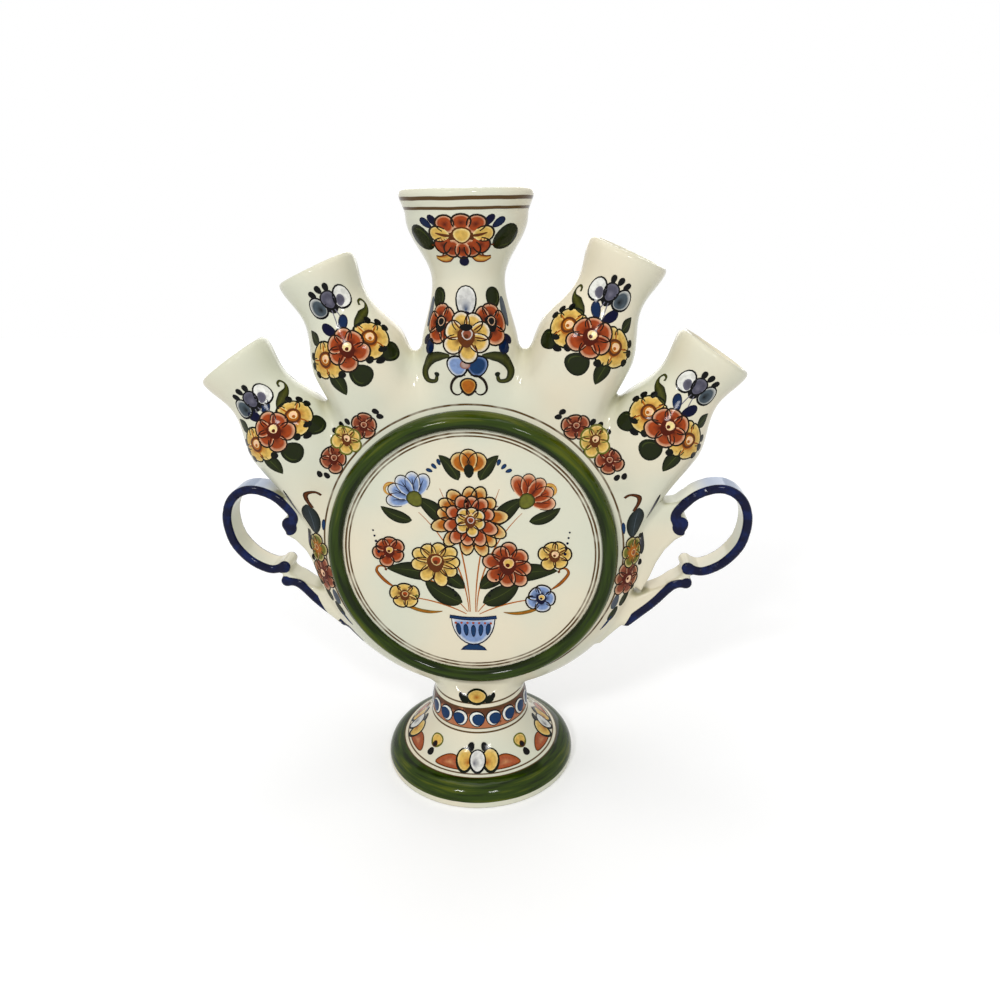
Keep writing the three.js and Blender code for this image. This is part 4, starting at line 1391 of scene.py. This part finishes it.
class Glaze:
    """A node material with short calls for sums, noise and mixes of colour."""

    def __init__(self, name, roughness=0.08, shine=0.16):
        self.material = bpy.data.materials.new(name)
        self.material.use_nodes = True
        self.nodes = self.material.node_tree.nodes
        self.links = self.material.node_tree.links
        self.shader = self.nodes["Principled BSDF"]
        self.shader.inputs["Roughness"].default_value = roughness
        self.shader.inputs["Specular IOR Level"].default_value = shine
        self.place = self.nodes.new("ShaderNodeTexCoord").outputs["Object"]
        split = self.nodes.new("ShaderNodeSeparateXYZ")
        self.links.new(self.place, split.inputs[0])
        self.x, self.y, self.z = split.outputs

    def put(self, socket, value):
        if isinstance(value, bpy.types.NodeSocket):
            self.links.new(value, socket)
        elif isinstance(value, tuple) and len(value) == 3 and socket.type == "RGBA":
            socket.default_value = (*value, 1)
        else:
            socket.default_value = value

    def sum(self, operation, *values):
        node = self.nodes.new("ShaderNodeMath")
        node.operation = operation
        for socket, value in zip(node.inputs, values):
            self.put(socket, value)
        return node.outputs[0]

    def noise(self, scale, detail=2.0, vector=None):
        node = self.nodes.new("ShaderNodeTexNoise")
        self.put(node.inputs["Vector"], self.place if vector is None else vector)
        node.inputs["Scale"].default_value = scale
        node.inputs["Detail"].default_value = detail
        return node.outputs["Fac"]

    def vector(self, x, y, z):
        node = self.nodes.new("ShaderNodeCombineXYZ")
        for socket, value in zip(node.inputs, (x, y, z)):
            self.put(socket, value)
        return node.outputs[0]

    def step(self, value, low, high, to_low=0.0, to_high=1.0):
        node = self.nodes.new("ShaderNodeMapRange")
        node.interpolation_type = "SMOOTHSTEP"
        for socket, number in zip(node.inputs, (value, low, high, to_low, to_high)):
            self.put(socket, number)
        return node.outputs[0]

    def mix(self, share, a, b):
        node = self.nodes.new("ShaderNodeMix")
        node.data_type = "RGBA"
        self.put(node.inputs[0], share)
        self.put(node.inputs[6], a)
        self.put(node.inputs[7], b)
        return node.outputs[2]

    def attribute(self, name):
        node = self.nodes.new("ShaderNodeAttribute")
        node.attribute_name = name
        return node

    def line(self, value, middle, half):
        """1 within `half` millimetres of a value in metres, 0 outside."""
        away = self.sum("ABSOLUTE", self.sum("SUBTRACT", value, middle * MM))
        return self.step(away, (half - LINE_SOFT) * MM, (half + LINE_SOFT) * MM, 1.0, 0.0)

    def across(self):
        """Distance to the right of the drum's and foot's own axis."""
        return self.sum("ADD", self.x, HANDLE_SHIFT * MM)

    def length(self, a, b):
        """How far a point lies from an axis, by its two distances across it."""
        return self.sum("SQRT", self.sum("ADD", self.sum("MULTIPLY", a, a), self.sum("MULTIPLY", b, b)))

    def wavering(self, value, scale, reach):
        """A value in metres that wavers by `reach` millimetres, as a line drawn by hand does."""
        waver = self.sum("MULTIPLY", self.sum("SUBTRACT", self.noise(scale), 0.5), reach * MM)
        return self.sum("ADD", value, waver)

    def finished(self, colour, wave=0.0, wave_scale=60.0):
        self.put(self.shader.inputs["Base Color"], colour)
        if wave:
            bump = self.nodes.new("ShaderNodeBump")
            bump.inputs["Strength"].default_value = wave
            bump.inputs["Distance"].default_value = MM
            self.put(bump.inputs["Height"], self.noise(wave_scale, 1.0))
            self.put(self.shader.inputs["Normal"], bump.outputs[0])
        return self.material


LINE_SOFT = 0.12
CREAM_WARM = linear(228, 219, 194)
CREAM_COOL = linear(215, 216, 196)
# Darker cream for the clay's hollows: partly pooled glaze, partly painted shade
CREAM_POOL_AND_SHADE = linear(176, 172, 138)
LINE_BROWN = linear(84, 60, 26)
WASH_BLUE = linear(126, 150, 196)
NAVY_EDGE = linear(3, 8, 44)
NAVY_LIGHT = linear(8, 30, 82)
GREEN_DARK = linear(22, 34, 2)
GREEN_MID = linear(44, 62, 4)
GREEN_OLIVE = linear(86, 94, 12)
BELT_BROWN = linear(88, 50, 26)
BELT_ORANGE = linear(180, 112, 74)
THIN_PAINT = (0.012, 0.01, 0.008)


def cream(glaze):
    """The tin glaze's own colour: warm and cool clouds, darker in the clay's hollows, partly as pooled
    glaze and partly as painted shade.
    """
    clouds = glaze.step(glaze.noise(22.0), 0.35, 0.65)
    colour = glaze.mix(clouds, CREAM_WARM, CREAM_COOL)
    # Painted shade, with pooled glaze, darkens the hollows
    return glaze.mix(glaze.attribute("pool_and_shade").outputs["Fac"], colour, CREAM_POOL_AND_SHADE)


def green(glaze, angle, across, shade):
    """Streaky green, brushed along the band; `shade` is 0 where it lies thick and dark."""
    turns = [glaze.sum("MULTIPLY", glaze.sum(wave, angle), 2.2) for wave in ("SINE", "COSINE")]
    grain = glaze.noise(1.0, vector=glaze.vector(*turns, glaze.sum("MULTIPLY", across, 560.0)))
    level = glaze.sum("ADD", grain, glaze.sum("MULTIPLY", glaze.sum("SUBTRACT", shade, 0.5), 0.26))
    dark = glaze.mix(glaze.step(level, 0.3, 0.56), GREEN_DARK, GREEN_MID)
    return glaze.mix(glaze.step(level, 0.56, 0.8, 0.0, 0.8), dark, GREEN_OLIVE)


def plain_cream_glaze():
    glaze = Glaze("cream_glaze")
    return glaze.finished(cream(glaze), 0.12)


# Where the navy starts on the strap's edges, from the handle's middle
STRAP_EDGE = (4.45 * MM, 4.7 * MM)


def handle_glaze():
    """Cream, washed pale blue on top, with the strap's edges and knobs in navy."""
    glaze = Glaze("handle_glaze")
    colour = glaze.mix(glaze.attribute("wash").outputs["Fac"], cream(glaze), WASH_BLUE)
    edge = glaze.step(glaze.sum("ABSOLUTE", glaze.y), *STRAP_EDGE)
    strap = glaze.step(glaze.attribute("band").outputs["Fac"], -0.1, 0.15, 1.0, 0.0)
    navy = glaze.mix(glaze.step(glaze.noise(240.0), 0.45, 0.7, 0.0, 0.8), NAVY_EDGE, NAVY_LIGHT)
    return glaze.finished(glaze.mix(glaze.sum("MULTIPLY", edge, strap), colour, navy), 0.2, 90.0)


def drum_radius(glaze):
    """Distance from the drum's middle and the clock angle round it."""
    across = glaze.across()
    up = glaze.sum("SUBTRACT", glaze.z, DRUM_HEIGHT * MM)
    return glaze.wavering(glaze.length(across, up), 90.0, 0.35), glaze.sum("ARCTAN2", across, up)


# Brown lines in millimetres, as a radius or a height and half the line's width
DRUM_LINES = ((46.9, 0.32), (48.15, 0.38), (57.6, 0.36))
LIP_LINES = ((226.7, 0.62), (223.6, 0.5))
FOOT_LINES = ((32.75, 0.22), (31.2, 0.26))
# This one runs over from the stem's neck onto the body
NECK_LINE = (34.3, 0.34)
STEM_LINES = ((22.0, 0.32), (23.7, 0.26), (32.3, 0.26), NECK_LINE)
# The belt's ground, as its middle height and half its own
BELT_GROUND = (28.0, 4.3)

# Over these the lines and bands fade in, in metres
OUTSIDE_LIP = (20.2 * MM, 20.4 * MM)
OUTSIDE_STEM = (16.0 * MM, 16.2 * MM)
ABOVE_FOOT_EDGE = (2.7 * MM, 2.9 * MM)
ABOVE_FOOT_BAND = (5 * MM, 6 * MM)
FOOT_BAND_START = (32.5 * MM, 32.7 * MM)
FOOT_BAND_SHADE = (33.0 * MM, 38.0 * MM)
RING_SHADE = (50.0 * MM, 54.5 * MM)
BELT_SHADE = (24 * MM, 32 * MM)


def body_glaze():
    """Cream with the brown lines on both sides of the ring, and the neck's."""
    glaze = Glaze("drum_glaze")
    radius, _ = drum_radius(glaze)
    strength = glaze.step(glaze.noise(160.0), 0.3, 0.55, 0.6, 1.0)
    colour = cream(glaze)
    for middle, half in DRUM_LINES:
        colour = glaze.mix(glaze.sum("MULTIPLY", glaze.line(radius, middle, half), strength),
                           colour, LINE_BROWN)
    colour = glaze.mix(glaze.line(glaze.z, *NECK_LINE), colour, LINE_BROWN)
    return glaze.finished(colour, 0.12)


def lip_glaze():
    """Cream with two brown lines under the middle spout's lip."""
    glaze = Glaze("lip_glaze")
    outside = glaze.step(glaze.length(glaze.across(), glaze.y), *OUTSIDE_LIP)
    height = glaze.wavering(glaze.z, 70.0, 0.7)
    colour = cream(glaze)
    for middle, half in LIP_LINES:
        line = glaze.sum("MULTIPLY", glaze.line(height, middle, half), outside)
        colour = glaze.mix(line, colour, LINE_BROWN)
    return glaze.finished(colour, 0.12)


def stand_glaze():
    """The foot's green band and the belt's brown ground, each between cream and brown lines."""
    glaze = Glaze("stand_glaze")
    height = glaze.wavering(glaze.z, 80.0, 0.5)
    across = glaze.across()
    radius = glaze.length(across, glaze.y)
    outside = glaze.step(radius, *OUTSIDE_STEM)
    band = glaze.sum("MULTIPLY", glaze.step(height, *ABOVE_FOOT_EDGE), glaze.step(radius, *FOOT_BAND_START))
    around = glaze.sum("ARCTAN2", across, glaze.y)
    thick = glaze.step(radius, *FOOT_BAND_SHADE, 0.2, 0.8)
    streaks = green(glaze, around, glaze.sum("SUBTRACT", radius, glaze.z), thick)
    colour = glaze.mix(band, cream(glaze), streaks)
    patch = glaze.sum("SUBTRACT", glaze.noise(420.0), glaze.step(height, *BELT_SHADE, -0.14, 0.16))
    ground = glaze.mix(glaze.step(patch, 0.4, 0.62), BELT_BROWN, BELT_ORANGE)
    colour = glaze.mix(glaze.sum("MULTIPLY", glaze.line(height, *BELT_GROUND), outside), colour, ground)
    above = glaze.step(height, *ABOVE_FOOT_BAND)
    for value, lines, where in ((glaze.z, STEM_LINES, outside), (radius, FOOT_LINES, above)):
        for middle, half in lines:
            line = glaze.sum("MULTIPLY", glaze.line(value, middle, half), where)
            colour = glaze.mix(line, colour, LINE_BROWN)
    return glaze.finished(colour, 0.12)


def ring_glaze():
    glaze = Glaze("green_ring_glaze", 0.07)
    radius, angle = drum_radius(glaze)
    return glaze.finished(green(glaze, angle, radius, glaze.step(radius, *RING_SHADE)), 0.15)


def painted_glaze():
    """The brushed colours under the shine, a little uneven as brushed colour is."""
    glaze = Glaze("painted_colours", 0.1, 0.1)
    paint = glaze.attribute("paint").outputs["Color"]
    thin = glaze.step(glaze.noise(700.0), 0.35, 0.7, 0.0, 0.22)
    return glaze.finished(glaze.mix(thin, paint, THIN_PAINT))


CREAM_GLAZE = plain_cream_glaze()
DRUM_GLAZE = body_glaze()
LIP_GLAZE = lip_glaze()
STAND_GLAZE = stand_glaze()
HANDLE_GLAZE = handle_glaze()
RING_GLAZE = ring_glaze()
PAINT_GLAZE = painted_glaze()


# Glaze pools, and painted shade darkens the cream, where a point this far off the surface is nearer to the
# clay than this
POOL_SHADE_REACH = 2.0
POOL_SHADE_LEVEL = 1.6
POOL_SHADE_MOST = 0.75
# The handles' blue wash starts at this place to the side and height, and comes in over these lengths
WASH_FROM = (80.0, 12.0)
WASH_OVER = (6.0, 8.0)
WASH_MOST = 0.75


def glaze_depth_and_shade(piece):
    """Marks the hollows of the clay, darkened partly as pooled glaze and partly as painted shade, and where
    the handles are washed blue.
    """
    place = from_part(mesh_points(piece.data))
    up = outward(place)
    # Painted shade in the hollows, along with pooled glaze: darker the nearer the clay stands round a point
    hollow = POOL_SHADE_LEVEL - clay_by_slabs(place + up * POOL_SHADE_REACH)
    pool_and_shade = np.clip(hollow * 0.7, 0, POOL_SHADE_MOST)
    wash = np.zeros(len(place))
    band = np.zeros(len(place))
    if "handle" in piece.name:
        m, fall = (1, 0.0) if "right" in piece.name else (-1, LEFT_HANDLE_DROP)
        u, w = m * (place[:, 0] - HANDLE_SHIFT), place[:, 2] + fall
        strap = np.minimum(line_distance(u, w, STRAP), line_distance(u, w, TAIL)) - STRAP_THICKNESS / 2
        knobs = [np.hypot(u - at[0], w - at[1]) - radius for at, radius in KNOBS]
        fuller = np.hypot(u - STRAP_LINE[0][0] - 0.3, w - STRAP_LINE[0][1] + 0.9) - UPPER_KNOB - 0.5
        band = np.minimum(np.minimum(strap, fuller), np.min(knobs, 0)) - 0.2
        outer = np.clip((u - WASH_FROM[0]) / WASH_OVER[0], 0, 1)
        top = np.clip((place[:, 2] - WASH_FROM[1]) / WASH_OVER[1], 0, 1) * outer
        wash = top * np.clip(up[:, 2] * 1.4, 0, 1) * WASH_MOST
    for name, values in (("pool_and_shade", pool_and_shade), ("wash", wash), ("band", band)):
        marks = piece.data.attributes.new(name, "FLOAT", "POINT")
        marks.data.foreach_set("value", values.astype(np.float32))


PIECES = clay_pieces()
for piece in PIECES.values():
    glaze_depth_and_shade(piece)
PIECES["front_ring"] = ring_piece("front_ring", -1, RING_GLAZE)
PIECES["back_ring"] = ring_piece("back_ring", 1, RING_GLAZE)
GLAZES = {"body_front_shell": DRUM_GLAZE, "body_back_shell": DRUM_GLAZE, "centre_spout": LIP_GLAZE,
          "left_handle": HANDLE_GLAZE, "right_handle": HANDLE_GLAZE,
          "foot": STAND_GLAZE, "stem": STAND_GLAZE, "front_ring": RING_GLAZE, "back_ring": RING_GLAZE}


def place_piece(piece, node, glaze):
    if len(piece.data.materials) == 0:
        piece.data.materials.append(glaze)
    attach(piece, "root")
    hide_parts(node)


for node, piece in PIECES.items():
    piece.name = node + "_glazed"
    place_piece(piece, node, GLAZES.get(node, CREAM_GLAZE))


def painted(node, *works):
    """Brushwork on one node: each work is a way to cast and the motifs laid through it."""
    for number, (cast, *motifs) in enumerate(works):
        p = Painting(cast)
        for motif, *facts in motifs:
            motif(p, *facts)
        piece = p.finish(f"{node}_brushwork_{number + 1}")
        place_piece(piece, node, PAINT_GLAZE)


def repeated(node, name, cast, count, turn, motif, *facts):
    """Brushwork drawn once and then laid `count` times round the foot's axis, a `turn` apart."""
    p = Painting(cast)
    motif(p, *facts)
    piece = grown(p.finish(f"{node}_{name}"), REPEATS, PAINT_GLAZE, Count=count,
                  Axis=(-HANDLE_SHIFT * MM, 0, 0), Step=(0, 0, turn))
    shaded(piece.data, outward(from_part(mesh_points(piece.data))))
    place_piece(piece, node, PAINT_GLAZE)


FRONT, BACK = -1, 1
for name in SPOUTS:
    works = []
    for side in (FRONT, BACK):
        if name == "centre":
            works.append((spout_cast(name, side), (centre_sprigs,)))
        else:
            mirror = (1 if "left" in name else -1) * -side
            works.append((spout_cast(name, side), (side_sprig, name, mirror)))
    painted(name + "_spout", *works)
for node, side in (("body_front_shell", FRONT), ("body_back_shell", BACK)):
    painted(node, (face_cast(side), (bouquet,), (garland, -1), (garland, 1),
                   (tail_stroke, side)),
            (rim_cast(side), (flank, -1), (flank, 1)))
painted("stem", (stand_cast(STEM_RADIUS, BEAD_LEAF_HEIGHT, 0.0), (stem_beads,)))
repeated("foot", "wreath", stand_cast(WREATH_RADIUS, WREATH_HEIGHT, WREATH_TILT), WREATH_GROUPS,
         2 * math.pi / WREATH_GROUPS, wreath_quarter)
belt = stand_cast(BEAD_RADIUS, BEAD_HEIGHT, 0.0)
for name, first, aside in (("right_beads", 0.1, 0.6), ("left_beads", 0.1 + BEADS / 2, -0.6)):
    repeated("stem", name, belt, BEADS // 2, 2 * math.pi / BEADS, belt_bead, first, aside)


# Stage

# The floor's glow, for the camera and for reflections, makes up what the lamps leave short of white
GLOW_NEAR = 0.2
GLOW_PER_METRE = 0.3
FLOOR_SIZE = 2.2
PAPER = (0.8, 0.8, 0.8, 1)
WHITE_LIGHT = (1, 1, 1, 1)
ROOM_LEVEL = 0.44


def seen_directly(nodes, links):
    """1 on the rays that the camera, a reflection or glass sends out, 0 on the light's own."""
    path = nodes.new("ShaderNodeLightPath")
    share = path.outputs["Is Camera Ray"]
    for name in ("Is Glossy Ray", "Is Transmission Ray"):
        either = nodes.new("ShaderNodeMath")
        either.operation = "MAXIMUM"
        links.new(share, either.inputs[0])
        links.new(path.outputs[name], either.inputs[1])
        share = either.outputs[0]
    return share


def stage():
    bpy.ops.mesh.primitive_plane_add(size=FLOOR_SIZE)
    floor = bpy.context.object
    floor.name = "floor"
    paper = bpy.data.materials.new("white_paper")
    paper.use_nodes = True
    nodes, links = paper.node_tree.nodes, paper.node_tree.links
    shader = nodes["Principled BSDF"]
    shader.inputs["Base Color"].default_value = PAPER
    shader.inputs["Roughness"].default_value = 0.9
    glow = nodes.new("ShaderNodeEmission")
    strength = nodes.new("ShaderNodeMath")
    strength.operation = "MULTIPLY"
    away = nodes.new("ShaderNodeVectorMath")
    away.operation = "LENGTH"
    links.new(nodes.new("ShaderNodeTexCoord").outputs["Object"], away.inputs[0])
    rising = nodes.new("ShaderNodeMath")
    rising.operation = "MULTIPLY_ADD"
    links.new(away.outputs["Value"], rising.inputs[0])
    rising.inputs[1].default_value = GLOW_PER_METRE
    rising.inputs[2].default_value = GLOW_NEAR
    links.new(rising.outputs[0], strength.inputs[1])
    both = nodes.new("ShaderNodeAddShader")
    links.new(seen_directly(nodes, links), strength.inputs[0])
    links.new(strength.outputs[0], glow.inputs["Strength"])
    links.new(shader.outputs[0], both.inputs[0])
    links.new(glow.outputs[0], both.inputs[1])
    links.new(both.outputs[0], nodes["Material Output"].inputs["Surface"])
    floor.data.materials.append(paper)


def lamp(name, place, size, power):
    light = bpy.data.lights.new(name, "AREA")
    light.shape = "RECTANGLE"
    light.size, light.size_y = size
    light.energy = power
    holder = bpy.data.objects.new(name, light)
    holder.location = place
    holder.rotation_euler = (LAMP_TARGET - Vector(place)).to_track_quat("-Z", "Y").to_euler()
    SCENE.collection.objects.link(holder)


def room():
    world = bpy.data.worlds.new("white_room")
    world.use_nodes = True
    nodes, links = world.node_tree.nodes, world.node_tree.links
    sky = nodes["Background"]
    sky.inputs["Color"].default_value = WHITE_LIGHT
    sky.inputs["Strength"].default_value = ROOM_LEVEL
    seen = nodes.new("ShaderNodeBackground")
    seen.inputs["Color"].default_value = WHITE_LIGHT
    seen.inputs["Strength"].default_value = 1.0
    mix = nodes.new("ShaderNodeMixShader")
    links.new(seen_directly(nodes, links), mix.inputs[0])
    links.new(sky.outputs[0], mix.inputs[1])
    links.new(seen.outputs[0], mix.inputs[2])
    links.new(mix.outputs[0], nodes["World Output"].inputs["Surface"])
    SCENE.world = world


stage()
room()
LAMP_TARGET = Vector((0, 0, 0.11))
# Each lamp's place and size in metres, and its power in watts
lamp("window_left", (-0.42, -0.95, 0.85), (0.18, 0.14), 4.6)
lamp("window_right", (0.36, -1.0, 0.8), (0.18, 0.14), 3.6)
lamp("window_top", (-0.1, 0.1, 1.1), (0.7, 0.7), 3.0)
lamp("back_fill", (0.0, 1.0, 0.5), (0.8, 0.6), 2.5)
SCENE.view_settings.view_transform = "Standard"

# Camera at the photograph's angle
CAMERA_PLACE = (0.02977, -0.3049, 0.22789)
CAMERA_RIGHT = Vector((0.99750, 0.06899, -0.01491))
CAMERA_DOWN = Vector((0.00985, -0.34515, -0.93849))
CAMERA_FORWARD = Vector((-0.06989, 0.93600, -0.34497))
SENSOR_WIDTH = 36
FOCAL_LENGTH = 30.03
camera = bpy.data.objects.new("camera", bpy.data.cameras.new("camera"))
camera.data.sensor_width = SENSOR_WIDTH
camera.data.lens = FOCAL_LENGTH
camera.matrix_world = Matrix((CAMERA_RIGHT, -CAMERA_DOWN, -CAMERA_FORWARD)).transposed().to_4x4()
camera.location = CAMERA_PLACE
SCENE.collection.objects.link(camera)
SCENE.camera = camera
